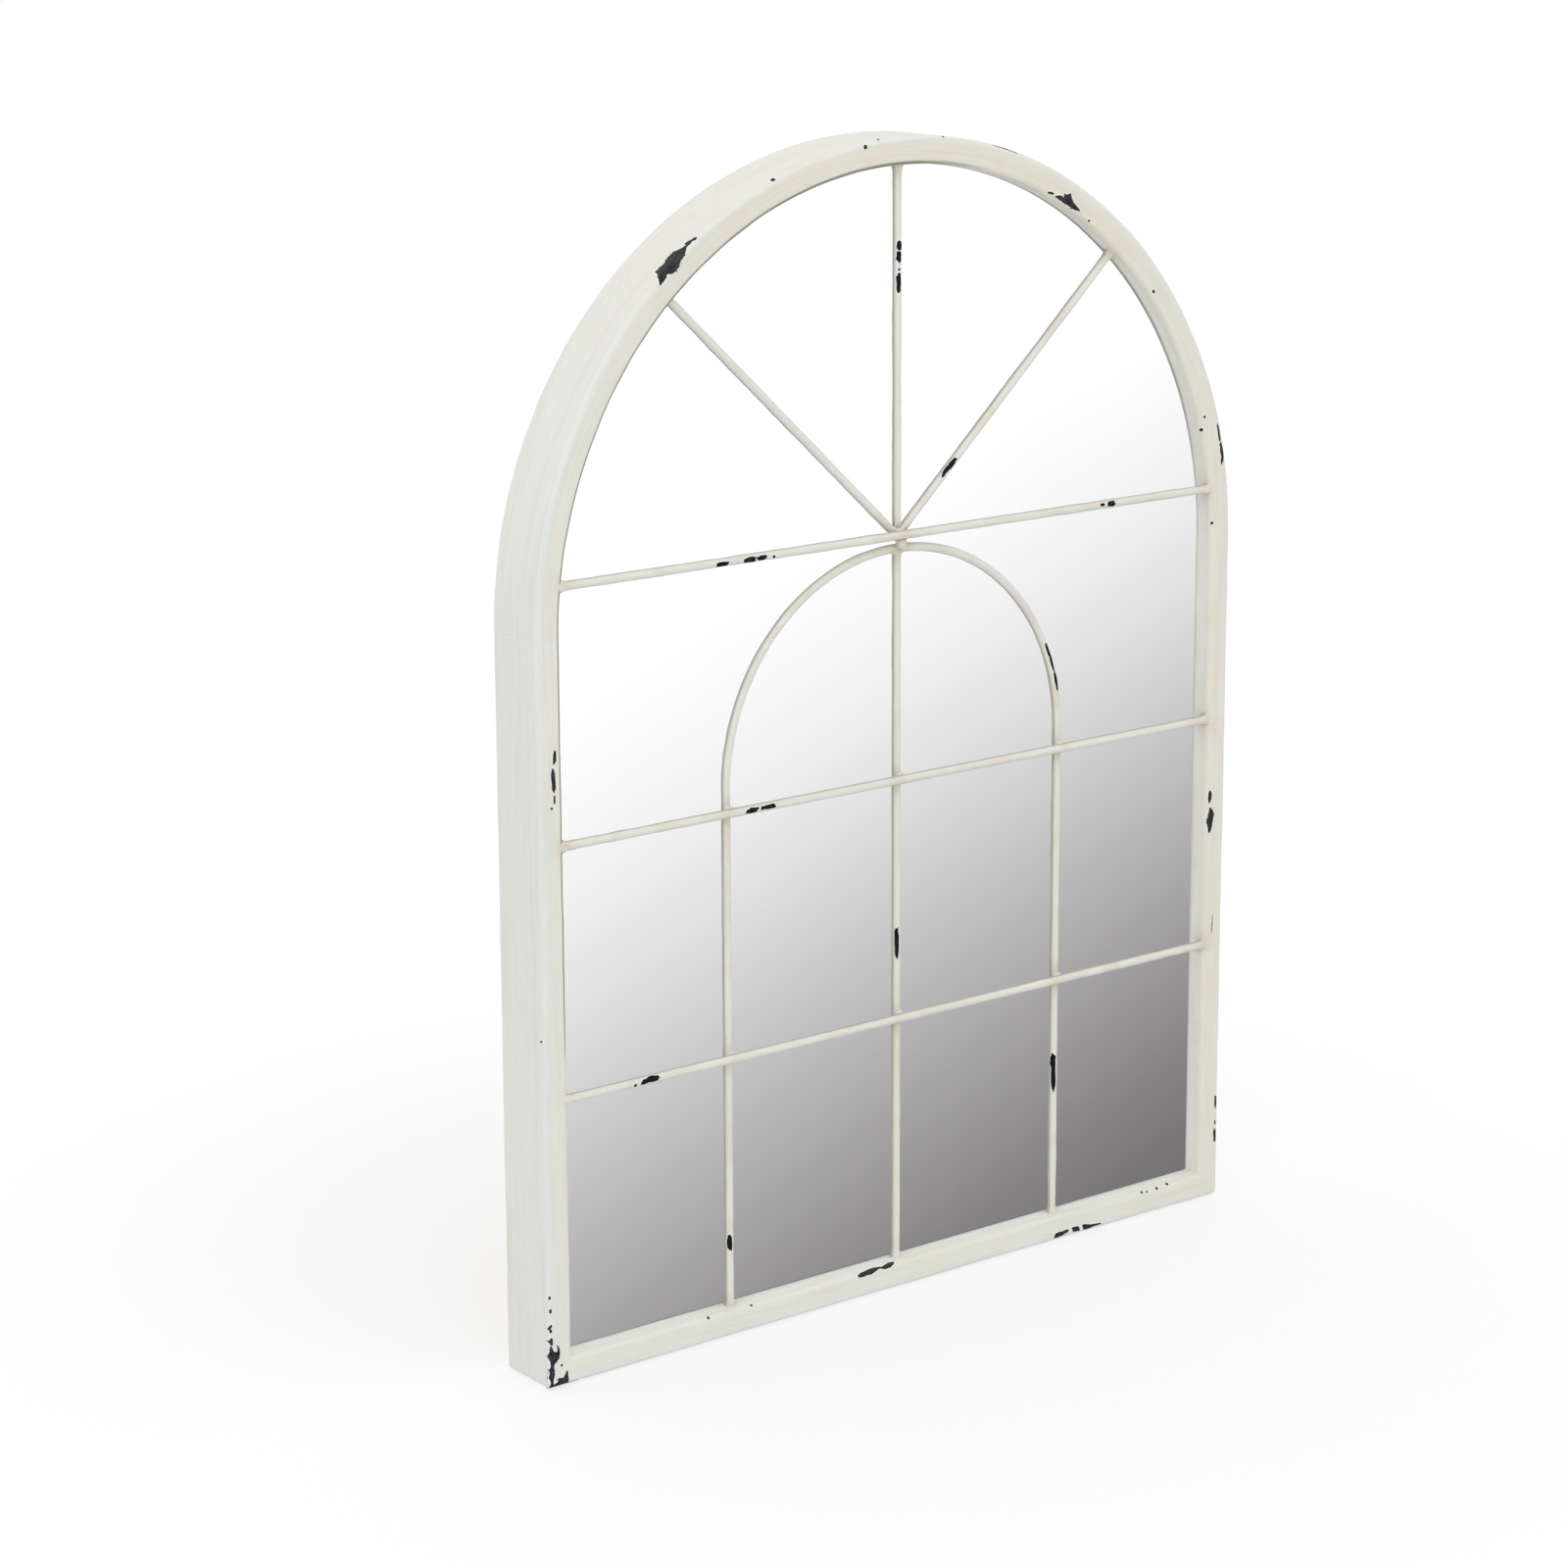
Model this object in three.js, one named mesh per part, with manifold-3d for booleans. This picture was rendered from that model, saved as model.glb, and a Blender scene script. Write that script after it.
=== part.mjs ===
// Arched window mirror: a bent rectangular tube frame, a lattice of round rods welded into it,
// one sheet of mirror, and a fibreboard back held by bent tabs and hung on two D-rings.
// Millimetres. +Z is up and the front looks along -Y. The origin is at the middle of the foot:
// x across the width, y at mid-depth, z on the underside of the bottom rail.

import * as THREE from "three";
import { mergeVertices } from "three/addons/utils/BufferGeometryUtils.js";
import Module from "manifold-3d";

const wasm = await Module();
wasm.setup();

// ---------------------------------------------------------------- driving dimensions

// Frame: 3/8 x 1 inch tube, set on edge
const frameWidth = 304.8;
const frameHeight = 406.4;
const tubeDepth = 25.4;
const tubeFace = 9.5;
const tubeWall = 1.2;
const tubeCornerRadius = 1.8;

// Glass and board, counted back from the front of the frame
const glassSetBack = 7.0;
const glassThickness = 3.0;
const glassEdgeClearance = 0.5;
const glassArris = 0.4;
const boardThickness = 5.0;
const boardEdgeClearance = 0.8;
const sheetGap = 0.25;
const sheetCornerRadius = 2.0;

// Rod lattice
const rodDiameter = 3.2;
const layerGap = 0.3;
const weldGap = 0.3;
const upperRowRise = 17.1;
const rowSpacing = 86.0;
const innerArchHalfWidth = 73.7;
const innerArchDrop = 5.1;
const fanAngleDeg = 43;
const fanBendRadius = 5.0;
const fanFootRise = 1.0;
const beadReach = 2.4;
const beadHeight = 3.0;

// Retaining tabs
const tabWidth = 10.0;
const tabThickness = 1.0;
const tabHeel = 6.5;
const tabFoot = 9.0;
const tabBendRadius = 0.8;
const lowerTabHeight = 62.0;
const upperTabDrop = 58.0;
const railTabInset = 64.9;
const archTabSpreadDeg = 50;

// D-ring hangers
const hangerInset = 50.9;
const hangerRise = 32.0;
const strapWidth = 11.0;
const strapThickness = 1.2;
const strapLength = 22.0;
const strapEndRadius = 3.5;
const strapWrapDeg = 295;
const ringWireDiameter = 2.2;
const ringHalfWidth = 8.4;
const ringCornerRadius = 2.4;
const ringButtGap = 0.4;
const ringPlay = 0.4;
const screwDrop = 17.0;
const screwShankDiameter = 2.9;
const screwLength = 4.2;
const screwPointLength = 1.0;
const screwHeadDiameter = 5.6;
const screwHeadHeight = 1.9;
const screwHeadRim = 0.6;
const screwRecessWidth = 0.8;
const screwRecessDepth = 1.0;
const screwRecessSpan = 3.0;
const screwClearance = 0.2;
const pilotSpareDepth = 0.5;

// Facets: steps along curves, and sides or corner segments of sections
const archSteps = 40;
const innerArchSteps = 28;
const fanBendSteps = 8;
const ringBowSteps = 18;
const ringCornerSteps = 4;
const rodSides = 12;
const wireSides = 10;
const screwSides = 16;
const cornerSegments = 2;

// ---------------------------------------------------------------- derived places

const frontFace = -tubeDepth / 2;
const archRadius = frameWidth / 2;
const springHeight = frameHeight - archRadius;
const tubeCentreRadius = archRadius - tubeFace / 2;
const openingHalfWidth = archRadius - tubeFace;
const rodRadius = rodDiameter / 2;

const glassFront = frontFace + glassSetBack;
const boardFront = glassFront + glassThickness + sheetGap;
const boardBack = boardFront + boardThickness;

const backLayer = glassFront - sheetGap - rodRadius;
const frontLayer = backLayer - rodDiameter - layerGap;

const upperRowHeight = springHeight + upperRowRise;
const upperTabHeight = springHeight - upperTabDrop;
const railTabOffset = openingHalfWidth - railTabInset;
const hangerOffset = openingHalfWidth - hangerInset;
const hangerHeight = springHeight + hangerRise;
const innerArchSpring = upperRowHeight - innerArchDrop - innerArchHalfWidth;
const fanFootHeight = upperRowHeight + fanFootRise;

// ---------------------------------------------------------------- solids and meshes

function solidFrom(geometry) {
  const bare = geometry.clone();
  bare.deleteAttribute("normal");
  bare.deleteAttribute("uv");
  const merged = mergeVertices(bare, 1e-4);
  const vertProperties = new Float32Array(merged.attributes.position.array);
  const triVerts = new Uint32Array(merged.index.array);
  return new wasm.Manifold(new wasm.Mesh({ numProp: 3, vertProperties, triVerts }));
}

function geometryFrom(solid) {
  const { vertProperties, triVerts } = solid.getMesh();
  const geometry = new THREE.BufferGeometry();
  geometry.setAttribute("position", new THREE.BufferAttribute(vertProperties, 3));
  geometry.setIndex(new THREE.BufferAttribute(triVerts, 1));
  geometry.computeVertexNormals();
  return geometry;
}

const paint = new THREE.MeshStandardMaterial({ color: 0xdedcd0, roughness: 0.6, metalness: 0.0 });
const mirror = new THREE.MeshStandardMaterial({ color: 0xe8eaec, roughness: 0.02, metalness: 1.0 });
const fibreboard = new THREE.MeshStandardMaterial({ color: 0x8a6b4b, roughness: 0.85 });
const zinc = new THREE.MeshStandardMaterial({ color: 0xb9bcc0, roughness: 0.35, metalness: 0.9 });

const part = new THREE.Group();

function addNode(name, geometry, material, parent = part) {
  const mesh = new THREE.Mesh(geometry, material);
  mesh.name = name;
  parent.add(mesh);
  return mesh;
}

// ---------------------------------------------------------------- paths, sections and outlines

// A path through given stations with one extrusion step from each station to the next, so that
// a straight leg costs one step however long it is.
class StationPath extends THREE.Curve {
  constructor(stations) {
    super();
    this.stations = stations;
  }
  get steps() {
    return this.stations.length - 1;
  }
  getPoint(t, target = new THREE.Vector3()) {
    const place = THREE.MathUtils.clamp(t, 0, 1) * this.steps;
    const from = Math.min(Math.floor(place), this.steps - 1);
    return target.lerpVectors(this.stations[from], this.stations[from + 1], place - from);
  }
  getUtoTmapping(u) {
    return u;
  }
}

function alongPath(section, stations, curveSegments) {
  const extrudePath = new StationPath(stations);
  const options = { steps: extrudePath.steps, extrudePath, curveSegments };
  return new THREE.ExtrudeGeometry(section, options);
}

// A point in the X-Z plane at a given depth, by its angle round a centre
function polar(centreX, centreZ, radius, angleDeg, y) {
  const angle = THREE.MathUtils.degToRad(angleDeg);
  const x = centreX + radius * Math.cos(angle);
  return new THREE.Vector3(x, y, centreZ + radius * Math.sin(angle));
}

function arc(centreX, centreZ, radius, fromDeg, toDeg, steps, y) {
  const angleAt = (i) => fromDeg + ((toDeg - fromDeg) * i) / steps;
  const stations = [];
  for (let i = 0; i <= steps; i++) stations.push(polar(centreX, centreZ, radius, angleAt(i), y));
  return stations;
}

function addRoundedRectangle(target, width, height, radius) {
  const x = width / 2 - radius;
  const y = height / 2 - radius;
  const quarter = Math.PI / 2;
  target.moveTo(x + radius, -y);
  target.absarc(x, y, radius, 0, quarter, false);
  target.absarc(-x, y, radius, quarter, 2 * quarter, false);
  target.absarc(-x, -y, radius, 2 * quarter, 3 * quarter, false);
  target.absarc(x, -y, radius, 3 * quarter, 4 * quarter, false);
  return target;
}

function disc(radius) {
  return new THREE.Shape().absarc(0, 0, radius, 0, 2 * Math.PI, false);
}

// The arched outline of the frame's opening, taken in by a margin, lower corners cut at a slant
function openingOutline(margin, cornerCut) {
  const half = openingHalfWidth - margin;
  const foot = tubeFace + margin;
  const outline = new THREE.Shape();
  outline.moveTo(half, foot + cornerCut);
  const head = arc(0, springHeight, half, 0, 180, archSteps, 0);
  for (const point of head) outline.lineTo(point.x, point.z);
  outline.lineTo(-half, foot + cornerCut);
  outline.lineTo(-half + cornerCut, foot);
  outline.lineTo(half - cornerCut, foot);
  return outline;
}

// An X-Z outline made solid from one depth to another, its edges broken by an arris if given
function sheet(outline, fromY, toY, arris = 0) {
  const geometry = new THREE.ExtrudeGeometry(outline, {
    depth: toY - fromY - 2 * arris,
    bevelEnabled: arris > 0,
    bevelThickness: arris,
    bevelSize: arris,
    bevelOffset: -arris,
    bevelSegments: 1,
    curveSegments: cornerSegments,
  });
  return geometry.rotateX(Math.PI / 2).translate(0, toY - arris, 0);
}

// A solid cylinder along Y
function drill(x, z, radius, fromY, toY) {
  const geometry = new THREE.CylinderGeometry(radius, radius, toY - fromY, screwSides);
  return solidFrom(geometry.translate(x, (fromY + toY) / 2, z));
}

// ---------------------------------------------------------------- frame tubes

// Rectangular tube section with its bore, sized along the first and second axis of its path
function tubeSection(first, second) {
  const section = addRoundedRectangle(new THREE.Shape(), first, second, tubeCornerRadius);
  const bore = new THREE.Path();
  const walls = 2 * tubeWall;
  addRoundedRectangle(bore, first - walls, second - walls, tubeCornerRadius - tubeWall);
  section.holes.push(bore);
  return section;
}

// Adds a tube on given stations, each corner of its ends slid to the plane the end is cut to
function addFrameTube(name, section, stations, cutEnds) {
  const geometry = alongPath(section, stations, cornerSegments);
  const position = geometry.getAttribute("position");
  const corner = new THREE.Vector3();
  for (let i = 0; i < position.count; i++) {
    cutEnds(corner.fromBufferAttribute(position, i));
    position.setXYZ(i, corner.x, corner.y, corner.z);
  }
  geometry.computeVertexNormals();
  addNode(name, geometry, paint);
}

// On a mitre plane a corner is as far in from the frame's side as it is up from its underside
const mitreFoot = (corner) => {
  if (corner.z < tubeFace) corner.z = archRadius - Math.abs(corner.x);
};
const mitreBothEnds = (corner) => {
  corner.x = Math.sign(corner.x) * (archRadius - corner.z);
};
const levelBothEnds = (corner) => {
  if (corner.z < springHeight + tubeFace / 2) corner.z = springHeight;
};

// A path along X has its first axis upright, and one that sets out upwards has it along Y
const lyingSection = tubeSection(tubeFace, tubeDepth);
const standingSection = tubeSection(tubeDepth, tubeFace);

for (const [name, side] of [["left_stile", -1], ["right_stile", 1]]) {
  const foot = new THREE.Vector3(side * tubeCentreRadius, 0, 0);
  const head = new THREE.Vector3(side * tubeCentreRadius, 0, springHeight);
  addFrameTube(name, standingSection, [foot, head], mitreFoot);
}

const railEnds = [-1, 1].map((side) => new THREE.Vector3(side * archRadius, 0, tubeFace / 2));
addFrameTube("bottom_rail", lyingSection, railEnds, mitreBothEnds);

const archCentreLine = arc(0, springHeight, tubeCentreRadius, 180, 0, archSteps, 0);
addFrameTube("arch_tube", standingSection, archCentreLine, levelBothEnds);

// ---------------------------------------------------------------- rod lattice

const trimmingPrism = solidFrom(sheet(openingOutline(weldGap, weldGap), -tubeDepth, tubeDepth));
const overrun = 2 * beadReach;

// A flattened weld bead centred on the wall where a rod ends. It is no deeper than the rod.
function weldBead({ x, z, alongDeg }, layer) {
  const bead = new THREE.SphereGeometry(1, rodSides, rodSides / 2);
  bead.scale(beadReach, rodRadius * 0.98, beadHeight);
  bead.rotateY(-THREE.MathUtils.degToRad(alongDeg));
  return solidFrom(bead.translate(x, layer, z));
}

// A rod drawn past the walls it is welded to, given its beads, then coped to the frame's opening
function weldedRod(name, stations, layer, welds) {
  let solid = solidFrom(alongPath(disc(rodRadius), stations, rodSides / 2));
  for (const weld of welds) solid = solid.add(weldBead(weld, layer));
  addNode(name, geometryFrom(solid.intersect(trimmingPrism)), paint);
}

function openingHalfWidthAt(height) {
  const rise = Math.max(height - springHeight, 0);
  return Math.sqrt(openingHalfWidth ** 2 - rise ** 2);
}

["upper_cross_rod", "middle_cross_rod", "lower_cross_rod"].forEach((name, row) => {
  const height = upperRowHeight - row * rowSpacing;
  const half = openingHalfWidthAt(height);
  const end = (side) => new THREE.Vector3(side * (half + overrun), frontLayer, height);
  const welds = [-1, 1].map((side) => ({ x: side * half, z: height, alongDeg: 0 }));
  weldedRod(name, [end(-1), end(1)], frontLayer, welds);
});

// Fan: two straight spokes that leave a round bend, each run on to the arch
const fanBendCentre = fanFootHeight + fanBendRadius;
const fanBend = arc(
  0, fanBendCentre, fanBendRadius, -90 - fanAngleDeg, -90 + fanAngleDeg, fanBendSteps, backLayer,
);
const spokeDirection = polar(0, 0, 1, fanAngleDeg, 0);
const spokeFoot = fanBend[fanBendSteps];
const footFromArchCentre = new THREE.Vector3(spokeFoot.x, 0, spokeFoot.z - springHeight);
const footAlongSpoke = footFromArchCentre.dot(spokeDirection);
const spokeLength =
  Math.sqrt(footAlongSpoke ** 2 + openingHalfWidth ** 2 - footFromArchCentre.lengthSq()) -
  footAlongSpoke;
const spokeWeld = spokeFoot.clone().addScaledVector(spokeDirection, spokeLength);
const spokeEnd = spokeFoot.clone().addScaledVector(spokeDirection, spokeLength + overrun);
const mirrored = ({ x, y, z }) => new THREE.Vector3(-x, y, z);
weldedRod("fan_rod", [mirrored(spokeEnd), ...fanBend, spokeEnd], backLayer, [
  { x: -spokeWeld.x, z: spokeWeld.z, alongDeg: -fanAngleDeg },
  { x: spokeWeld.x, z: spokeWeld.z, alongDeg: fanAngleDeg },
]);

// Crown rod: seated in the crotch of the fan, where the bend's inside is as wide as the rod
const crotchRadius = fanBendRadius - rodRadius;
const crotchDepth = Math.sqrt(Math.max(crotchRadius ** 2 - rodRadius ** 2, 0));
const crownRodFoot = fanBendCentre - crotchDepth + weldGap;
const crown = springHeight + openingHalfWidth;
const upright = (fromZ, toZ) => [fromZ, toZ].map((z) => new THREE.Vector3(0, backLayer, z));
const crownWeld = { x: 0, z: crown, alongDeg: 90 };
weldedRod("crown_rod", upright(crownRodFoot, crown + overrun), backLayer, [crownWeld]);

// Inner arch: legs down to the rail, and the centre rod up to the underside of its crown
const legFoot = (side) =>
  new THREE.Vector3(side * innerArchHalfWidth, backLayer, tubeFace - overrun);
const innerArchHead = arc(
  0, innerArchSpring, innerArchHalfWidth, 180, 0, innerArchSteps, backLayer,
);
const innerArchLine = [legFoot(-1), ...innerArchHead, legFoot(1)];
const railWeld = (x) => ({ x, z: tubeFace, alongDeg: 90 });
const legWelds = [railWeld(-innerArchHalfWidth), railWeld(innerArchHalfWidth)];
weldedRod("inner_arch_rod", innerArchLine, backLayer, legWelds);

const centreRodHead = innerArchSpring + innerArchHalfWidth - rodRadius - weldGap;
const centreRodLine = upright(tubeFace - overrun, centreRodHead);
weldedRod("centre_rod", centreRodLine, backLayer, [railWeld(0)]);

// ---------------------------------------------------------------- mirror and backing

const glassOutline = openingOutline(glassEdgeClearance, sheetCornerRadius);
const glass = sheet(glassOutline, glassFront, glassFront + glassThickness, glassArris);
addNode("mirror_glass", glass, mirror);

const strapFace = boardBack + strapThickness;
const screwHeight = hangerHeight - screwDrop;
const screwHoleRadius = screwShankDiameter / 2 + screwClearance;
const pilotEnd = strapFace - screwLength - pilotSpareDepth;

let backing = solidFrom(
  sheet(openingOutline(boardEdgeClearance, sheetCornerRadius), boardFront, boardBack),
);
for (const side of [-1, 1]) {
  const pilot = drill(side * hangerOffset, screwHeight, screwHoleRadius, pilotEnd, strapFace);
  backing = backing.subtract(pilot);
}
addNode("backing_board", geometryFrom(backing), fibreboard);

// ---------------------------------------------------------------- retaining tabs

// An L-shaped strip: first axis inwards from the wall, second axis backwards from the board
function tabGeometry() {
  const outerBend = tabBendRadius + tabThickness;
  const side = new THREE.Shape();
  side.moveTo(tabFoot, 0);
  side.absarc(outerBend, outerBend, outerBend, -Math.PI / 2, -Math.PI, true);
  side.lineTo(0, tabHeel);
  side.lineTo(tabThickness, tabHeel);
  side.absarc(outerBend, outerBend, tabBendRadius, -Math.PI, -Math.PI / 2, false);
  side.lineTo(tabFoot, tabThickness);
  const options = { depth: tabWidth, bevelEnabled: false, curveSegments: cornerSegments };
  return new THREE.ExtrudeGeometry(side, options).translate(0, 0, -tabWidth / 2);
}

const backwards = new THREE.Vector3(0, 1, 0);

// Sets a tab on the opening's wall, heel to the wall and foot over the board
function addTab(name, wallX, wallZ, inwards) {
  const tab = addNode(name, tabGeometry(), zinc);
  const acrossTab = new THREE.Vector3().crossVectors(inwards, backwards);
  const turn = new THREE.Matrix4().makeBasis(inwards, backwards, acrossTab);
  tab.quaternion.setFromRotationMatrix(turn);
  tab.position.set(wallX, boardBack + sheetGap, wallZ).addScaledVector(inwards, weldGap);
}

for (const [sideName, side] of [["left", -1], ["right", 1]]) {
  const wallX = side * openingHalfWidth;
  const inwards = new THREE.Vector3(-side, 0, 0);
  addTab(`tab_${sideName}_lower`, wallX, lowerTabHeight, inwards);
  addTab(`tab_${sideName}_upper`, wallX, upperTabHeight, inwards);
  addTab(`tab_rail_${sideName}`, side * railTabOffset, tubeFace, new THREE.Vector3(0, 0, 1));
}
const archTabs = [["left", archTabSpreadDeg], ["crown", 0], ["right", -archTabSpreadDeg]];
for (const [tabName, fromCrownDeg] of archTabs) {
  const outwards = polar(0, 0, 1, 90 + fromCrownDeg, 0);
  const wall = outwards.clone().multiplyScalar(openingHalfWidth);
  addTab(`tab_arch_${tabName}`, wall.x, springHeight + wall.z, outwards.negate());
}

// ---------------------------------------------------------------- D-ring hangers

const loopInside = ringWireDiameter / 2 + ringPlay;
const loopOutside = loopInside + strapThickness;

// A strip laid flat on the board and wrapped round the ring's bar. In its side view the first
// axis runs backwards and the second up, from the middle of the bar. Then its foot is rounded
// and drilled.
function strapSolid() {
  const start = Math.PI;
  const end = start - THREE.MathUtils.degToRad(strapWrapDeg);
  const side = new THREE.Shape();
  side.moveTo(-loopOutside, -strapLength);
  side.absarc(0, 0, loopOutside, start, end, true);
  side.absarc(0, 0, loopInside, end, start, false);
  side.lineTo(-loopInside, -strapLength);
  const options = { depth: strapWidth, bevelEnabled: false, curveSegments: 12 };
  const strip = new THREE.ExtrudeGeometry(side, options).translate(0, 0, -strapWidth / 2);
  const sideways = new THREE.Matrix4().makeBasis(
    new THREE.Vector3(0, 1, 0), new THREE.Vector3(0, 0, 1), new THREE.Vector3(1, 0, 0),
  );
  const plateHeight = strapLength + 2 * loopOutside + strapEndRadius;
  const plan = addRoundedRectangle(new THREE.Shape(), strapWidth, plateHeight, strapEndRadius);
  const planPrism = sheet(plan, -2 * loopOutside, 2 * loopOutside);
  planPrism.translate(0, 0, plateHeight / 2 - strapLength);
  const hole = drill(0, -screwDrop, screwHoleRadius, -2 * loopOutside, 0);
  const strap = solidFrom(strip.applyMatrix4(sideways));
  return strap.intersect(solidFrom(planPrism)).subtract(hole);
}

// A D of round wire hanging from its straight bar, the wire's ends butted inside the strap's loop
function ringGeometry() {
  const cornerX = ringHalfWidth - ringCornerRadius;
  const cornerZ = -ringCornerRadius;
  const bow = arc(0, cornerZ, ringHalfWidth, 0, -180, ringBowSteps, 0);
  const rightCorner = arc(cornerX, cornerZ, ringCornerRadius, 90, 0, ringCornerSteps, 0);
  const leftCorner = arc(-cornerX, cornerZ, ringCornerRadius, 180, 90, ringCornerSteps, 0);
  const butt = (side) => new THREE.Vector3((side * ringButtGap) / 2, 0, 0);
  const line = [
    butt(1),
    ...rightCorner.slice(0, -1),
    ...bow,
    ...leftCorner.slice(1),
    butt(-1),
  ];
  return alongPath(disc(ringWireDiameter / 2), line, wireSides / 2);
}

// A pan-head screw along Y, its head's underside at the origin, with a cross recess
function screwSolid() {
  const shankRadius = screwShankDiameter / 2;
  const headRadius = screwHeadDiameter / 2;
  const domeRise = screwHeadHeight - screwHeadRim;
  const profile = [
    new THREE.Vector2(0, -screwLength),
    new THREE.Vector2(shankRadius, -screwLength + screwPointLength),
    new THREE.Vector2(shankRadius, 0),
    new THREE.Vector2(headRadius, 0),
    new THREE.Vector2(headRadius, screwHeadRim),
  ];
  for (const angleDeg of [30, 55, 75]) {
    const dome = polar(0, 0, 1, angleDeg, 0);
    profile.push(new THREE.Vector2(headRadius * dome.x, screwHeadRim + domeRise * dome.z));
  }
  profile.push(new THREE.Vector2(0, screwHeadHeight));
  let screw = solidFrom(new THREE.LatheGeometry(profile, screwSides));
  for (const [spanX, spanZ] of [
    [screwRecessSpan, screwRecessWidth],
    [screwRecessWidth, screwRecessSpan],
  ]) {
    const slot = new THREE.BoxGeometry(spanX, 2 * screwRecessDepth, spanZ);
    screw = screw.subtract(solidFrom(slot.translate(0, screwHeadHeight, 0)));
  }
  return screw;
}

for (const [sideName, side] of [["left", -1], ["right", 1]]) {
  const hanger = new THREE.Group();
  hanger.position.set(side * hangerOffset, boardBack + loopOutside, hangerHeight);
  part.add(hanger);
  addNode(`hanger_strap_${sideName}`, geometryFrom(strapSolid()), zinc, hanger);
  addNode(`hanger_ring_${sideName}`, ringGeometry(), zinc, hanger);
  const screw = addNode(`hanger_screw_${sideName}`, geometryFrom(screwSolid()), zinc, hanger);
  screw.position.set(0, strapThickness - loopOutside, -screwDrop);
}

export default part;
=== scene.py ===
"""Arched window mirror, dressed over its CAD frame.

A bent tube frame painted cream, a lattice of round rods welded into it, one sheet of
mirror, and a fibreboard back held by bent tabs and hung on two D-rings. Lengths are in
millimetres until a mesh is made.
"""

import math

import bpy
import numpy as np
from mathutils import Matrix


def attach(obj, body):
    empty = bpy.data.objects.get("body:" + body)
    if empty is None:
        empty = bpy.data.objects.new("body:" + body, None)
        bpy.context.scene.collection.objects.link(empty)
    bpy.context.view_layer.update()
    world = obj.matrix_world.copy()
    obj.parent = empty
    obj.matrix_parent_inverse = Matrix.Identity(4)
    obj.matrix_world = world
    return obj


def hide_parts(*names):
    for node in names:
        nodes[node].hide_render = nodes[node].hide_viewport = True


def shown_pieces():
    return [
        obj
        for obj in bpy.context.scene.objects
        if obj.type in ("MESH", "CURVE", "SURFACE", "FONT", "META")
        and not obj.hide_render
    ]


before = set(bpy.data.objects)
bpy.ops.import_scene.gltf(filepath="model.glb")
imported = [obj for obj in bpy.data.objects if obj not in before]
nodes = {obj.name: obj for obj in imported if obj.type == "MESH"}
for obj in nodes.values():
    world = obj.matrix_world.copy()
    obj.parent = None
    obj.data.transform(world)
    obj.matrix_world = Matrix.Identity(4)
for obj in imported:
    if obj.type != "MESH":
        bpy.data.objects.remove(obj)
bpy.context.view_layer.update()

MM = 0.001

# ---- the maker's dimensions

HALF_WIDTH = 152.4  # also the radius of the arch's outer line
SPRING = 254.0
TUBE_FACE = 9.5
TUBE_DEPTH = 25.4
TUBE_CORNER = 1.8
TUBE_FRONT = -TUBE_DEPTH / 2
OPENING = HALF_WIDTH - TUBE_FACE
GLASS_FRONT = -5.7
GLASS_THICKNESS = 3.0
BOARD_BACK = 2.55

ROD = 1.53
SUNK = 2.6  # how far a rod's welded end runs on inside the wall
WELD_REACH = 4.5  # how far the stain of a weld spreads
BACK_LAYER = -7.55
FRONT_LAYER = -11.05
BETWEEN_LAYERS = (BACK_LAYER + FRONT_LAYER) / 2
ROWS = (271.1, 185.1, 99.1)
LEG = 73.7
INNER_SPRING = 192.3
FAN_ANGLE = math.radians(43)
FAN_BEND = 5.0
FAN_CENTRE = 277.1
CROWN_ROD_FOOT = 273.6
CENTRE_ROD_TOP = 264.6

TAB_HEIGHTS = (62.0, 196.0)
TAB_REACH = 78.0
TAB_DEGREES = (40, 90, 140)
TAB_THICKNESS = 1.0
TAB_HALF_WIDTH = 5.0

HANGER_X = 92.0
PIVOT_Y = 5.25
PIVOT_Z = 286.0
SCREW_Z = 269.0
STRAP_THICKNESS = 1.2
STRAP_HALF_WIDTH = 5.5
STRAP_LOOP = 2.1  # radius of the middle of the strap's loop round the ring's bar

# Lengths along the frame's outer line: up the left stile, over the arch, down the right
# stile and back along the bottom rail
ARCH_START = SPRING
ARCH_END = ARCH_START + math.pi * HALF_WIDTH
RAIL_START = ARCH_END + SPRING
LOOP = RAIL_START + 2 * HALF_WIDTH


# ---- meshes

def columns(*parts):
    """Numbers or arrays, stretched to one shape and set side by side on a last axis."""
    return np.stack(np.broadcast_arrays(*parts), -1)


def fade(value, at, soft):
    """Falls softly from 1 to 0 as a value passes a place."""
    return 1 / (1 + np.exp((value - at) / soft))


def circle(count):
    """Angles evenly round a circle."""
    return np.linspace(0, 2 * np.pi, count, endpoint=False)


def travelled(rows):
    """How far along a run each of its rows lies."""
    return np.append(0.0, np.cumsum(np.hypot(*np.diff(rows[:, :2], axis=0).T)))


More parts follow.
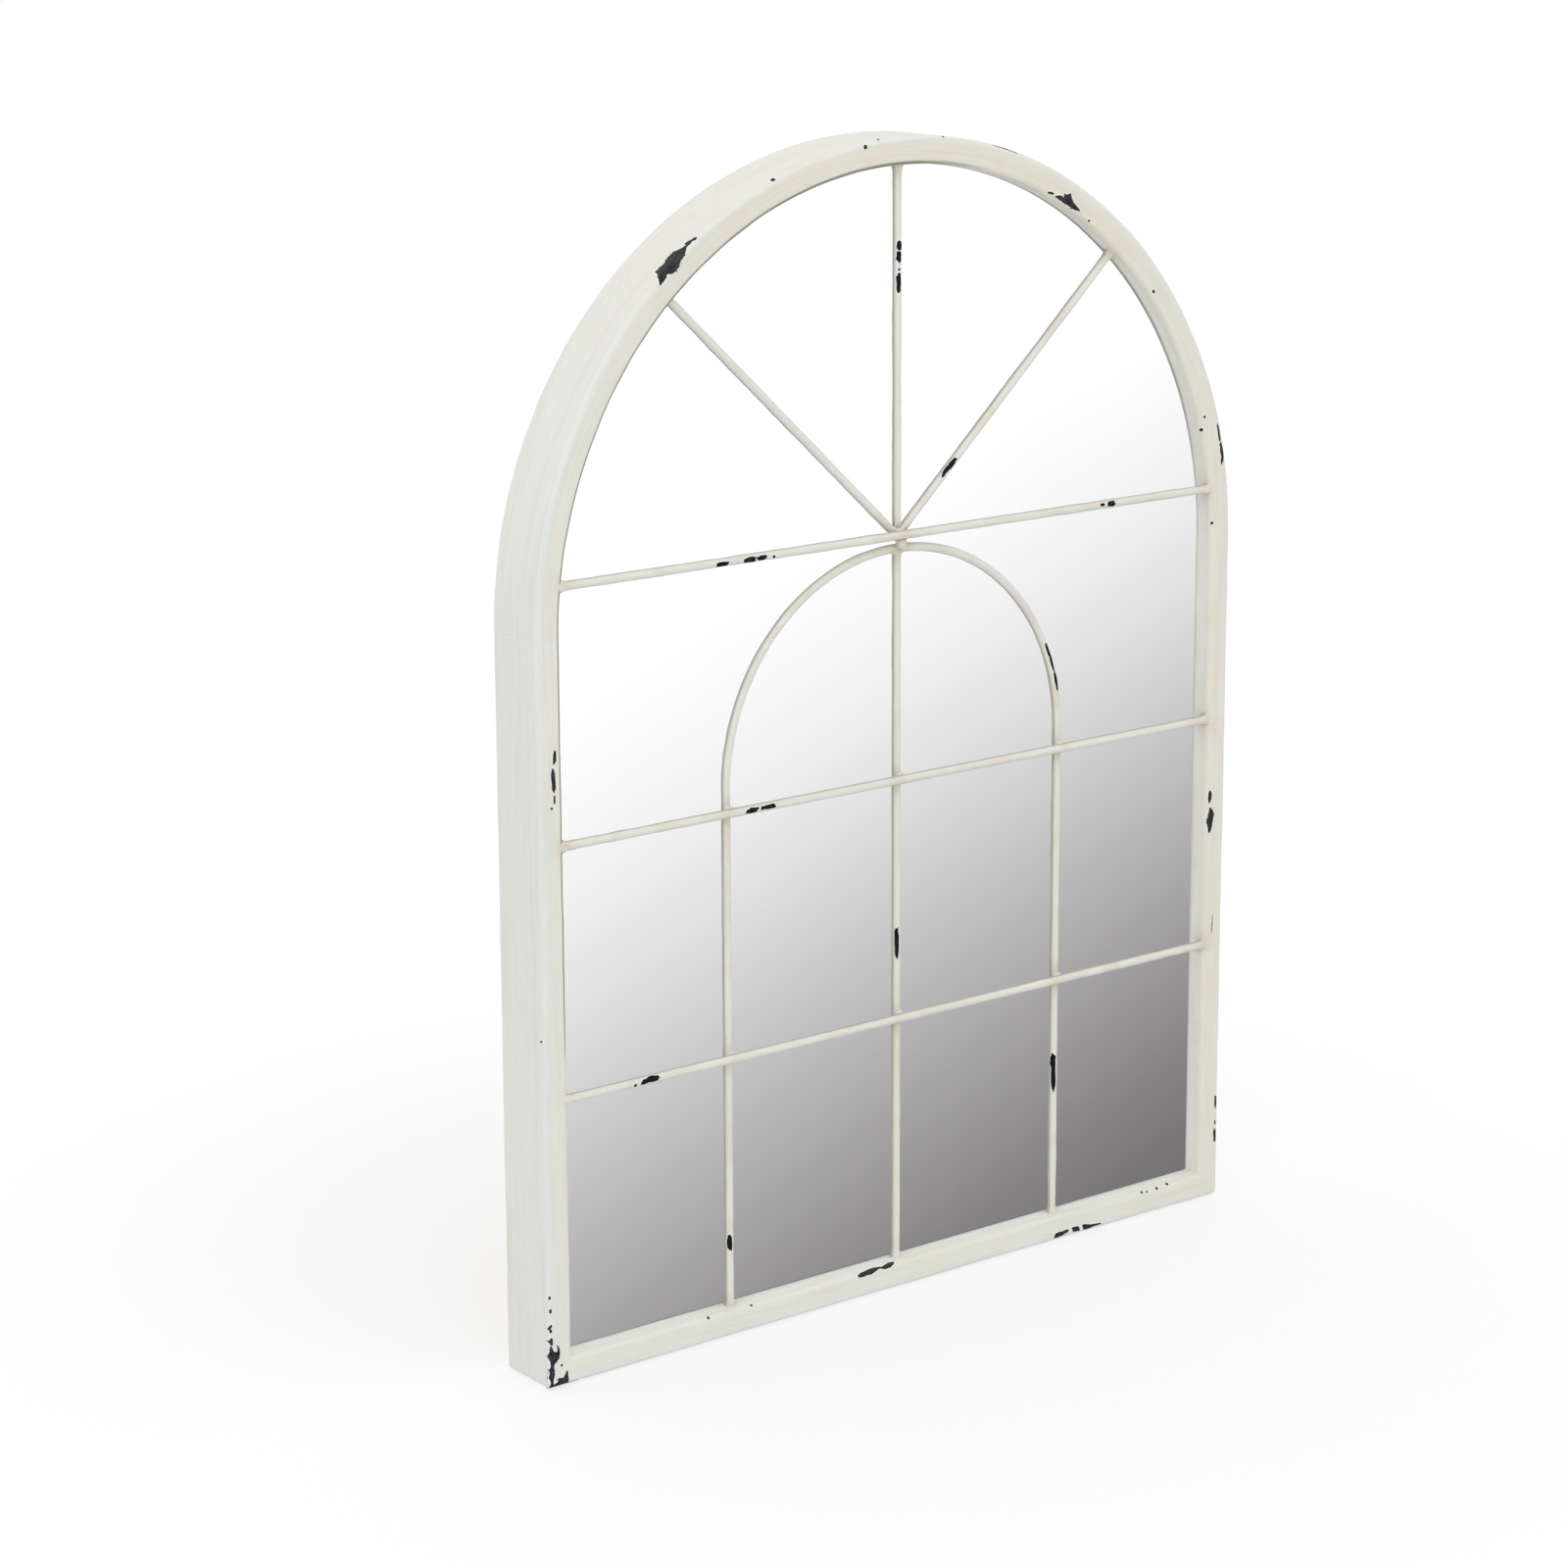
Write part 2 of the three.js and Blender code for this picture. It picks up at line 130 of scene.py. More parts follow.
def shell(grid, lengths=None, girths=None, ring=False, tint=0.0, side=0.0):
    """A closed skin over a grid of points (stations, places round, 3).

    The last place round joins the first. With ring the last station joins the first as
    well; without it each end is closed by a fan to the middle of its last loop. lengths
    and girths are the UV map's two lengths, per station and per place; lengths may be
    (rows, 2), the start and end of each row, where the map is cut. tint and side are the
    paint's two masks: near a weld, and where painted shade darkens the paint.
    """
    stations, places, _ = grid.shape
    index = np.arange(stations * places).reshape(stations, places)
    index = np.hstack([index, index[:, :1]])
    if ring:
        index = np.vstack([index, index[:1]])
    quads = columns(index[:-1, :-1], index[1:, :-1], index[1:, 1:], index[:-1, 1:])
    quads = quads.reshape(-1, 4)
    rows = len(index) - 1
    if lengths is None:
        lengths = np.arange(stations + 1.0)
    if np.ndim(lengths) == 1:
        lengths = columns(lengths[:rows], lengths[1 : rows + 1])
    girths = np.arange(places + 1.0) if girths is None else np.asarray(girths, float)
    low, high = lengths[:, 0], lengths[:, 1]
    if low.ndim == 1:
        low, high = (np.repeat(a[:, None], places + 1, 1) for a in (low, high))
    near, far = slice(None, -1), slice(1, None)
    corners = [(low, near), (high, near), (high, far), (low, far)]
    quad_uv = np.stack([columns(at[:, part], girths[part]) for at, part in corners], 2)
    quad_uv = quad_uv.reshape(-1, 4, 2)
    points = grid.reshape(-1, 3)
    fans, fan_uv = np.zeros((0, 3), int), np.zeros((0, 3, 2))
    if not ring:
        count = len(points)
        points = np.vstack([points, grid[0].mean(0), grid[-1].mean(0)])
        first, last = index[0], index[-1]
        fans = np.vstack(
            [columns(first[1:], count, first[:-1]), columns(last[:-1], count + 1, last[1:])]
        )
        one, two = girths[:-1], girths[1:]
        ends = [(low[0, 0], -1, two, one), (high[-1, 0], 1, one, two)]
        fan_uv = np.concatenate(
            [
                np.stack([columns(at, a), columns(at + past, (a + b) / 2), columns(at, b)], 1)
                for at, past, a, b in ends
            ]
        )
    triangles = np.vstack([quads[:, :3], quads[:, [0, 2, 3]], fans])
    a, b, c = (points[triangles] - points.mean(0)).transpose(1, 0, 2)
    if (np.cross(a, b) * c).sum() < 0:
        quads, quad_uv, fans, fan_uv = (each[:, ::-1] for each in (quads, quad_uv, fans, fan_uv))
    masks = [np.broadcast_to(mask, (stations, places)).reshape(-1) for mask in (tint, side)]
    if not ring:
        masks = [np.append(m, [m[:places].mean(), m[-places:].mean()]) for m in masks]
    return points, quads, fans, quad_uv, fan_uv, *masks


def make_mesh(name, shells, finish):
    """One smooth mesh of several shells, with their UV map and masks."""
    offsets = np.cumsum([0] + [len(s[0]) for s in shells[:-1]])
    points = np.vstack([s[0] for s in shells]) * MM
    quads, fans = (
        np.vstack([s[k] + start for s, start in zip(shells, offsets)]).tolist() for k in (1, 2)
    )
    mesh = bpy.data.meshes.new(name)
    mesh.from_pydata(points.tolist(), [], quads + fans)
    uv = np.concatenate([s[k].reshape(-1, 2) for k in (3, 4) for s in shells])
    mesh.uv_layers.new(name="lengths").data.foreach_set("uv", uv.ravel())
    for label, k in (("tint", 5), ("side", 6)):
        mask = np.concatenate([s[k] for s in shells])
        mesh.attributes.new(label, "FLOAT", "POINT").data.foreach_set("value", mask)
    mesh.shade_smooth()
    mesh.materials.append(finish)
    return mesh


def placed(name, data):
    """A new object in the scene that shows some data."""
    made = bpy.data.objects.new(name, data)
    bpy.context.scene.collection.objects.link(made)
    return made


def make_piece(name, shells, finish, stands_for=(), body="frame"):
    """Puts shells into one mesh object that rides on a body and takes a finish."""
    piece = placed(name, make_mesh(name, shells, finish))
    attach(piece, body)
    if stands_for:
        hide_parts(*stands_for)


def lumps(points, height, seed, shortest=9.0, longest=60.0, waves=14):
    """Soft unevenness: a sum of sine waves through space, of seeded directions."""
    rng = np.random.default_rng(seed)
    total = np.zeros(points.shape[:-1])
    for length in np.geomspace(shortest, longest, waves):
        direction = rng.normal(size=3)
        direction *= 2 * np.pi / length / np.linalg.norm(direction)
        total += np.sin(points @ direction + rng.uniform(0, 2 * np.pi))
    return height * total / math.sqrt(waves / 2)


# ---- the tube frame

# Round the tube's section, from the middle of its outer front corner: across the front,
# back along the inner wall, across the back and forwards along the outer side
quarter = TUBE_CORNER * math.pi / 2
face_flat = TUBE_FACE - 2 * TUBE_CORNER
depth_flat = TUBE_DEPTH - 2 * TUBE_CORNER
section_steps = [
    quarter / 2, face_flat, quarter, depth_flat, quarter,
    face_flat, quarter, depth_flat, quarter / 2,
]
section_at = np.cumsum([0.0] + section_steps)
GIRTH = section_at[-1]
section_turn = [225, 270, 270, 360, 360, 450, 450, 540, 540, 585]
near_in, far_in = TUBE_CORNER, TUBE_FACE - TUBE_CORNER
section_inset = [near_in] * 2 + [far_in] * 4 + [near_in] * 4
front_y, back_y = TUBE_FRONT + TUBE_CORNER, TUBE_DEPTH / 2 - TUBE_CORNER
section_y = [front_y] * 4 + [back_y] * 4 + [front_y] * 2


def section(w):
    """The tube's rounded rectangle at w mm round it: inset from the outer line, y, and
    the outward direction as (inwards, backwards). A corner circle is carried along a
    smaller rectangle while its direction turns."""
    w = np.mod(w, GIRTH)
    turn = np.radians(np.interp(w, section_at, section_turn))
    inwards, backwards = np.cos(turn), np.sin(turn)
    inset = np.interp(w, section_at, section_inset) + TUBE_CORNER * inwards
    y = np.interp(w, section_at, section_y) + TUBE_CORNER * backwards
    return inset, y, inwards, backwards


def on_frame(s, w, lift=0.0):
    """The point s mm along the frame's outer line and w mm round its section, raised by
    lift along the section's outward direction. Near the feet the front falls back along a
    quarter circle towards the floor and the sides, as both members' arrises do."""
    s, w = np.broadcast_arrays(np.asarray(s, float), np.asarray(w, float))
    inset, y, inwards, backwards = section(w)
    inset, y = inset + lift * inwards, y + lift * backwards
    s = np.mod(s, LOOP)
    angle = math.pi - (s - ARCH_START) / HALF_WIDTH
    where = [s < ARCH_START, s < ARCH_END, s < RAIL_START]
    reach = HALF_WIDTH - inset
    over, up = reach * np.cos(angle), SPRING + reach * np.sin(angle)
    x = np.select(where, [-reach, over, reach], HALF_WIDTH - (s - RAIL_START))
    z = np.select(where, [s, up, SPRING - (s - ARCH_END)], inset)
    edge = np.where(z < SPRING, np.minimum(z, HALF_WIDTH - np.abs(x)), TUBE_CORNER)
    fall = TUBE_CORNER - np.clip(edge, 0, TUBE_CORNER)
    front = front_y - np.sqrt(TUBE_CORNER**2 - fall**2) - 0.7 * lift
    y = np.where((y < 0) & (edge < TUBE_CORNER), np.maximum(y, front), y)
    return columns(x, y, z)


def frame_skin():
    """The frame as one painted loop: the rounded section carried up the left stile, over
    the arch, down the right stile and along the rail, round a small arc at each foot
    whose radius shrinks from 1.2 mm outside to almost none inside."""
    counts = [4, 3, 8, 8, 8, 3, 8, 8, 4]
    w = np.concatenate(
        [np.linspace(*section_at[k : k + 2], n, endpoint=False) for k, n in enumerate(counts)]
    )
    inset, y, inwards, backwards = section(w)
    radius = 1.2 - 0.11 * inset
    corner = inset + radius
    reach = HALF_WIDTH - inset

    # Stations along each member, closer together beside the butt welds
    after_seam = np.array([0.3, 0.55, 0.8, 1.1, 1.6, 2.5])
    before_seam = -after_seam[::-1]
    span = math.pi * HALF_WIDTH
    up = [np.linspace(0, SPRING - 4, 84), SPRING + before_seam, [SPRING]]
    up = np.concatenate(up)[:, None] / SPRING
    over = np.concatenate([after_seam, np.linspace(4, span - 4, 190), span + before_seam])
    over = math.pi - over[:, None] / HALF_WIDTH
    bend = np.radians(np.linspace(0, 90, 9)[1:-1])[:, None]
    along = np.linspace(0, 1, 100)[:, None]

    left = columns(-reach, corner + up * (SPRING - corner))
    arch = columns(reach * np.cos(over), SPRING + reach * np.sin(over))
    foot = columns(HALF_WIDTH - corner + radius * np.cos(bend), corner - radius * np.sin(bend))
    rail = columns((HALF_WIDTH - corner) * (1 - 2 * along), inset)
    mirrored = [-1, 1]
    plan = [left, arch, left[::-1] * mirrored, foot, rail, foot[::-1] * mirrored]
    plan = np.concatenate(plan)
    towards = [
        columns(0 * up + 1, 0.0), columns(-np.cos(over), -np.sin(over)),
        columns(0 * up - 1, 0.0), columns(-np.cos(bend), np.sin(bend)),
        columns(0 * along, 1.0), columns(np.cos(bend), np.sin(bend))[::-1],
    ]
    towards = np.concatenate(towards)
    grid = columns(plan[..., 0], y, plan[..., 1])
    outwards = columns(towards[..., 0] * inwards, backwards, towards[..., 1] * inwards)
    from_seam = np.abs(grid[..., 2] - SPRING)
    weld_line = 0.05 * np.exp(-((from_seam / 1.5) ** 2))
    weld_line -= 0.07 * np.exp(-((from_seam / 0.5) ** 2))
    grid = grid + outwards * (lumps(grid, 0.05, 3) + weld_line)[..., None]

    # The UV map's first length, worked out anew on each row of faces from its member
    member = np.repeat([0, 1, 2, 3], [len(up), len(over), len(up), 2 * len(bend) + len(along)])
    member = np.append(member[1:], 3)[:, None]

    def length_at(p):
        x, z = p[..., 0], p[..., 2]
        angle = np.arctan2(np.maximum(z - SPRING, 0.0), x)
        choices = [z, ARCH_START + HALF_WIDTH * (math.pi - angle), ARCH_END + SPRING - z]
        return np.select([member == k for k in range(3)], choices, RAIL_START + HALF_WIDTH - x)

    lengths = np.stack([length_at(grid), length_at(np.roll(grid, -1, 0))], 1)
    lengths = np.concatenate([lengths, lengths[..., :1]], -1)

    # Painted shade: a dark line over the inner arris of the left half, where it turns away,
    # and along the crease where the inner wall meets the glass on the right
    inner_turn = np.exp(-(((w - section_at[2] - 1.3) / 1.0) ** 4))
    glass_line = np.exp(-(((w - section_at[3] - 4.9) / 0.8) ** 4))
    on_left = fade(grid[..., 0], 30.0, 14.0)
    raised, high = (
        fade(at - grid[..., 2], 0.0, soft) for at, soft in ((112.0, 7.0), (290.0, 12.0))
    )
    painted_shade = inner_turn * on_left * raised
    painted_shade = painted_shade + glass_line * (0.62 + 0.38 * (1 - on_left) * high)
    return shell(
        grid, lengths, np.append(w, GIRTH), ring=True, tint=weld_tints(grid), side=painted_shade
    )


def weld_tints(points):
    """How near a point is to a welded joint, from 0 to 1."""
    total = np.zeros(points.shape[:-1])
    for place in weld_places:
        gap = np.sqrt(((points - place) ** 2).sum(-1))
        total = np.maximum(total, np.exp(-((gap / WELD_REACH) ** 2)))
    return total


# ---- the rod lattice

def line(x0, z0, x1, z1):
    """A straight run as rows of x, z and heading."""
    t = np.linspace(0, 1, 400)
    return columns(x0 + t * (x1 - x0), z0 + t * (z1 - z0), math.atan2(z1 - z0, x1 - x0))


def bow(x, z, radius, start, end):
    """A circular run as rows of x, z and heading, the angles in degrees."""
    a = np.radians(np.linspace(start, end, 400))
    heading = a + math.copysign(math.pi / 2, end - start)
    return columns(x + radius * np.cos(a), z + radius * np.sin(a), heading)


class Rod:
    """One round rod: its line in an upright plane at a depth, and which of its two ends
    are welded."""

    def __init__(self, runs, depth, welded=(False, False), radius=ROD, uneven=0.045):
        self.rows, self.depth, self.radius = np.concatenate(runs), depth, radius
        self.at = travelled(self.rows)
        self.length, self.uneven = self.at[-1], uneven
        self.welds = [0.0] * welded[0] + [self.length] * welded[1]
        self.low = -SUNK * welded[0]
        self.high = self.length + SUNK * welded[1]

    def nearest(self, x, z):
        """How far along the rod the point nearest to x, z lies."""
        return self.at[np.argmin(np.hypot(self.rows[:, 0] - x, self.rows[:, 1] - z))]

    def place(self, s, a, lift=0.0):
        """The point s mm along the rod and a mm round it from its front, raised by lift:
        a circle across the rod's line, a little uneven, flared at each welded end."""
        s, a = np.broadcast_arrays(s, a)
        x, z, heading = (np.interp(s, self.at, self.rows[:, k]) for k in range(3))
        beyond = s - np.clip(s, 0, self.length)
        x, z = x + beyond * np.cos(heading), z + beyond * np.sin(heading)
        base = columns(x, self.depth, z)
        turn = a / self.radius
        across = columns(-np.sin(heading), 0.0, np.cos(heading))
        outwards = across * np.sin(turn)[..., None] - np.cos(turn)[..., None] * [0, 1, 0]
        radius = self.radius + lumps(base + 1.3 * outwards, self.uneven, 11, 5.0, 40.0)
        for weld in self.welds:
            flare = 0.6 * np.exp(-((np.abs(s - weld) / 1.4) ** 1.6))
            radius = radius + flare * (1 + lumps(base + 2 * outwards, 0.16, 5, 2.0, 9.0))
        points = base + outwards * (radius + lift)[..., None]
        if self.welds:
            points[..., 1] = np.clip(points[..., 1], TUBE_FRONT + 0.05, GLASS_FRONT - 0.04)
        return points

    def skin(self, rise, step=1.5, places=20):
        """The rod's surface, with closer stations at its welds and its UV map raised by
        rise, so that no two rods share a pattern."""
        near = np.arange(-SUNK, 4.0, 0.35)
        s = [np.arange(self.low, self.high, step)]
        s += [weld + near * side for weld in self.welds for side in (-1, 1)]
        s = np.unique(np.round(np.concatenate(s), 3))
        s = np.append(s[(s >= self.low) & (s < self.high - 0.1)], self.high)
        a = np.linspace(0, 2 * math.pi * self.radius, places + 1)
        grid = self.place(*np.meshgrid(s, a[:-1], indexing="ij"))
        # side runs from 0 at the rod's front to 1 at its back: the mask of painted shade on the
        # rods' sides and backs
        side = (1 - np.cos(a[:-1] / self.radius)) / 2
        return shell(grid, s, a + rise, tint=weld_tints(grid), side=side)


def row_half(z):
    """Half the opening's width at a height."""
    return math.sqrt(OPENING**2 - max(z - SPRING, 0.0) ** 2)


# The fan's spokes run from the ends of its bend to the opening's circle
foot_x, foot_z = FAN_BEND * math.sin(FAN_ANGLE), FAN_CENTRE - FAN_BEND * math.cos(FAN_ANGLE)
spoke_x, spoke_z = math.cos(FAN_ANGLE), math.sin(FAN_ANGLE)
foot_up = foot_x * spoke_x + (foot_z - SPRING) * spoke_z
spoke = math.sqrt(foot_up**2 + OPENING**2 - foot_x**2 - (foot_z - SPRING) ** 2) - foot_up
tip_x, tip_z = foot_x + spoke * spoke_x, foot_z + spoke * spoke_z
fan_degrees = math.degrees(FAN_ANGLE)
CROWN = SPRING + OPENING

BOTH, START, END = (True, True), (True, False), (False, True)
rods = {
    name + "_rod": Rod(runs, depth, welded)
    for name, depth, welded, *runs in (
        *(
            (row + "_cross", FRONT_LAYER, BOTH, line(-row_half(z), z, row_half(z), z))
            for row, z in zip(("upper", "middle", "lower"), ROWS)
        ),
        (
            "fan", BACK_LAYER, BOTH,
            line(-tip_x, tip_z, -foot_x, foot_z),
            bow(0, FAN_CENTRE, FAN_BEND, -90 - fan_degrees, -90 + fan_degrees),
            line(foot_x, foot_z, tip_x, tip_z),
        ),
        ("crown", BACK_LAYER, END, line(0, CROWN_ROD_FOOT, 0, CROWN)),
        (
            "inner_arch", BACK_LAYER, BOTH,
            line(-LEG, TUBE_FACE, -LEG, INNER_SPRING),
            bow(0, INNER_SPRING, LEG, 180, 0),
            line(LEG, INNER_SPRING, LEG, TUBE_FACE),
        ),
        ("centre", BACK_LAYER, START, line(0, TUBE_FACE, 0, CENTRE_ROD_TOP)),
    )
}

crossings = [(x, z) for z in ROWS[1:] for x in (-LEG, 0.0, LEG)] + [(0.0, ROWS[0])]
weld_places = (
    [(x, BETWEEN_LAYERS, z) for x, z in crossings]
    + [(0.0, BETWEEN_LAYERS, 267.0), (0.0, BACK_LAYER, 264.0)]
    + [(side * row_half(z), FRONT_LAYER, z) for side in (-1, 1) for z in ROWS]
    + [(side * tip_x, BACK_LAYER, tip_z) for side in (-1, 1)]
    + [(0.0, BACK_LAYER, CROWN)]
    + [(x, BACK_LAYER, TUBE_FACE) for x in (-LEG, 0.0, LEG)]
)


def blob(centre, radii, seed, limit=True):
    """A lump of weld: an ellipsoid whose radius wavers by seeded waves. With limit it
    stays between the tube's front and the glass."""
    rise = np.radians(np.linspace(-90, 90, 11)[1:-1])
    lat, lon = np.meshgrid(rise, circle(18), indexing="ij")
    unit = columns(np.cos(lat) * np.cos(lon), np.sin(lat), np.cos(lat) * np.sin(lon))
    uneven = 1 + lumps(unit * 3, 0.09, seed, 1.6, 7.0, 8)
    grid = np.asarray(centre) + unit * np.asarray(radii) * uneven[..., None]
    if limit:
        grid[..., 1] = np.clip(grid[..., 1], TUBE_FRONT + 0.03, GLASS_FRONT - 0.02)
    return shell(grid, tint=1.0)


def weld_blobs():
    """Small lumps between the two layers at each crossing, and the block of weld that ties
    the upper row to the crown of the inner arch."""
    made = [
        blob((x, BETWEEN_LAYERS, z), (2.15, 1.25, 2.15), 40 + k)
        for k, (x, z) in enumerate(crossings)
    ]
    made.append(blob((0.3, -9.6, 267.9), (1.9, 2.0, 2.6), 61))
    made.append(blob((0.0, BACK_LAYER, CENTRE_ROD_TOP), (2.2, 1.5, 1.5), 62))
    return made


# ---- the mirror

def mirror_skin():
    """The sheet of mirror: the opening's outline less a clearance, with nearly square lower
    corners and a small ground arris, filled by loops drawn in towards one middle point.
    A loop just inside the arris keeps the face flat up to it."""
    clearance, corner, arris = 0.2, 0.5, 0.4
    half, foot = OPENING - clearance, TUBE_FACE + clearance
    turn = np.radians(np.linspace(0, 90, 5))[1:-1]
    over = np.linspace(0, math.pi, 97)
    side = np.linspace(foot + corner, SPRING, 30)[:-1]
    base = np.linspace(-1, 1, 30) * (half - corner)
    bend = [half - corner + corner * np.sin(turn), foot + corner - corner * np.cos(turn)]
    bend = columns(*bend)
    outline = np.concatenate(
        [
            columns(base, foot),
            bend,
            columns(half, side),
            columns(half * np.cos(over), SPRING + half * np.sin(over)),
            columns(-half, side[::-1]),
            bend[::-1] * [-1, 1],
        ]
    )
    middle = np.array([0.0, 190.0])
    away = outline - middle
    reach = np.hypot(*away.T)[:, None]
    # Loops from the middle of the front to the middle of the back: share of the way out,
    # inset from the outline, y
    front, back = GLASS_FRONT, GLASS_FRONT + GLASS_THICKNESS
    loops = [
        (0.02, 0.0, front), (0.5, 0.0, front), (1.0, 0.6, front), (1.0, arris + 0.02, front),
        (1.0, arris, front), (1.0, 0.0, front + arris), (1.0, 0.0, back - arris),
        (1.0, arris, back), (1.0, 0.6, back), (0.5, 0.0, back), (0.02, 0.0, back),
    ]
    grid = []
    for part, inset, y in loops:
        plan = middle + part * away * (1 - inset / reach)
        grid.append(columns(plan[:, 0], y, plan[:, 1]))
    return shell(np.stack(grid))


# ---- tabs and hangers

def strip_skin(rows, half_width, thickness, start, u_axis, v_axis, rise=0.0):
    """A bent strip of sheet metal: a flat oval section with rounded edges, carried along
    rows of u, v and heading in its side view. half_width(d) gives its half width at a
    distance d from its foot, which is the end of rows; start is where u = v = 0."""
    u_axis, v_axis = np.array(u_axis, float), np.array(v_axis, float)
    cross = np.cross(u_axis, v_axis)
    at = travelled(rows)
    keep = np.append(True, np.diff(at) > 1e-6)
    rows, at = rows[keep], at[keep]
    edge = thickness * 0.36
    turn = np.radians(np.concatenate([np.linspace(90 * k, 90 * k + 90, 5) for k in range(4)]))
    wide = np.repeat([1, -1, -1, 1], 5)
    thick = np.repeat([1, 1, -1, -1], 5)
    half = half_width(at[-1] - at)[:, None]
    a = wide * (half - edge) + edge * np.cos(turn)
    b = thick * (thickness / 2 - edge) + edge * np.sin(turn)
    u = rows[:, :1] - b * np.sin(rows[:, 2:])
    v = rows[:, 1:2] + b * np.cos(rows[:, 2:])
    grid = start + u[..., None] * u_axis + v[..., None] * v_axis + a[..., None] * cross
    around = np.append(0.0, np.cumsum(np.hypot(np.diff(a.mean(0)), np.diff(b))))
    return shell(grid, at + rise, np.append(around, around[-1] + 1.0))


def rounded_ends(half, radius, length=math.inf):
    """Half widths along a strip with corners of a radius at its foot, and at its other end
    where a length is given."""

    def half_width(d):
        to_end = np.clip(np.minimum(d, length - d), 0, radius)
        return half - radius + np.sqrt(radius**2 - (radius - to_end) ** 2)

    return half_width


def tab_skins():
    """The nine retaining tabs: a heel up the wall, a bend, and a foot over the board with
    a small lump of weld at each side of the heel."""
    side_view = [
        line(0.5, 6.5, 0.5, 1.8), bow(1.8, 1.8, 1.3, 180, 270), line(1.8, 0.5, 9.0, 0.5)
    ]
    side_view = np.concatenate(side_view)[::4]
    width = rounded_ends(TAB_HALF_WIDTH, 0.9, travelled(side_view)[-1])
    places = [(side * OPENING, z, -side, 0) for side in (-1, 1) for z in TAB_HEIGHTS]
    places += [(side * TAB_REACH, TUBE_FACE, 0, 1) for side in (-1, 1)]
    for angle in map(math.radians, TAB_DEGREES):
        c, s = math.cos(angle), math.sin(angle)
        places.append((OPENING * c, SPRING + OPENING * s, -c, -s))
    metal, welds = [], []
    for k, (x, z, in_x, in_z) in enumerate(places):
        start = np.array([x + 0.3 * in_x, BOARD_BACK + 0.25, z + 0.3 * in_z])
        inwards, back = (in_x, 0.0, in_z), (0, 1, 0)
        metal.append(strip_skin(side_view, width, TAB_THICKNESS, start, inwards, back, 40.0 * k))
        for side in (-1, 1):
            x1 = x + in_x * 0.35 - side * 4.9 * in_z
            z1 = z + in_z * 0.35 + side * 4.9 * in_x
            radii = (0.8 + 1.3 * abs(in_z), 2.3, 0.8 + 1.3 * abs(in_x))
            welds.append(blob((x1, 6.9, z1), radii, 500 + 2 * k + side, limit=False))
    return metal, welds


def strap_skin(x):
    """A hanger strap: up the board from its rounded foot and round the ring's bar."""
    around = bow(0, 0, STRAP_LOOP, -115, 180)
    foot = line(-STRAP_LOOP, 0.0, -STRAP_LOOP, -22.0)
    side_view = np.concatenate([around[::6], foot[4::8], foot[-12:]])
    start, width = np.array([x, PIVOT_Y, PIVOT_Z]), rounded_ends(STRAP_HALF_WIDTH, 3.5)
    return strip_skin(side_view, width, STRAP_THICKNESS, start, (0, 1, 0), (0, 0, 1))


def ring_skin(x):
    """A D of round wire: half a bar, a corner, the bow, the other corner and half bar."""
    z, reach, corner = PIVOT_Z, 6.0, 2.4
    runs = [
        line(x + 0.2, z, x + reach, z),
        bow(x + reach, z - corner, corner, 90, 0),
        bow(x, z - corner, reach + corner, 0, -180),
        bow(x - reach, z - corner, corner, 180, 90),
        line(x - reach, z, x - 0.2, z),
    ]
    return Rod(runs, PIVOT_Y, radius=1.1, uneven=0.012).skin(0.0, step=0.6, places=18)


def screw_skin(x):
    """A pan-head screw from above: a dome over its rim, less a cross-shaped recess with
    soft walls, and its underside closed below the strap's face."""
    rho = np.concatenate([np.linspace(0.12, 2.0, 16), np.linspace(2.1, 2.8, 9)])
    r, t = np.meshgrid(rho, circle(72), indexing="ij")
    rise = 0.6 + 1.3 * np.sqrt(np.clip(1 - (r / 2.85) ** 2, 0, 1))
    narrow = np.minimum(np.abs(r * np.cos(t)), np.abs(r * np.sin(t)))
    slot = np.maximum(fade(narrow, 0.4, 0.05), fade(r, 0.72, 0.06)) * fade(r, 1.55, 0.05)
    strap_face = BOARD_BACK + STRAP_THICKNESS
    grid = columns(x + r * np.cos(t), strap_face + (rise - slot), SCREW_Z + r * np.sin(t))
    skirt = grid[-1:] * [1, 0, 1] + [0, strap_face - 0.25, 0]
    return shell(np.concatenate([grid, skirt]))


# ---- chips in the paint

def flake(place, s, a, half_long, half_wide, turn, seed, grow, top):
    """A thin lens of bare steel or paint edge laid on a surface: a wavering, slightly
    squared oval in the surface's own two lengths, flat on top and sunk at its rim.
    place(s, a, lift) gives the surface."""
    rng = np.random.default_rng(seed)
    size = max(half_long, half_wide)
    places = int(np.clip(10 + 9 * size, 12, 44))
    phi = circle(places)
    rough = 0.2 * min(1.0, 0.6 + 0.2 * size)
    outline = np.ones(places)
    for k in range(2, 9):
        wave = rough / k**0.55 * rng.uniform(-1, 1)
        outline += wave * np.cos(k * phi + rng.uniform(0, 2 * np.pi))
    outline = np.clip(outline, 0.35, 1.7)
    along, across = (np.sign(v) * np.abs(v) ** 0.75 for v in (np.cos(phi), np.sin(phi)))
    along, across = half_long * outline * along, half_wide * outline * across
    reach = np.hypot(along, across)
    wider = (reach + grow) / np.maximum(reach, 1e-6)
    along, across = along * wider, across * wider
    c, d = math.cos(math.radians(turn)), math.sin(math.radians(turn))
    along, across = along * c - across * d, along * d + across * c
    rings = np.array([0.12, 0.35, 0.58, 0.78, 0.92, 1.0, 0.97, 0.5])[:, None]
    lift = np.array([1, 1, 1, 1, 0.9, 0.1, -1.6, -2.2])[:, None] * top
    grid = place(s + rings * along, a + rings * across, lift + 0 * phi)
    return shell(grid, lengths=s + rings[:, 0] * half_long, girths=a + np.append(phi, 7.0))


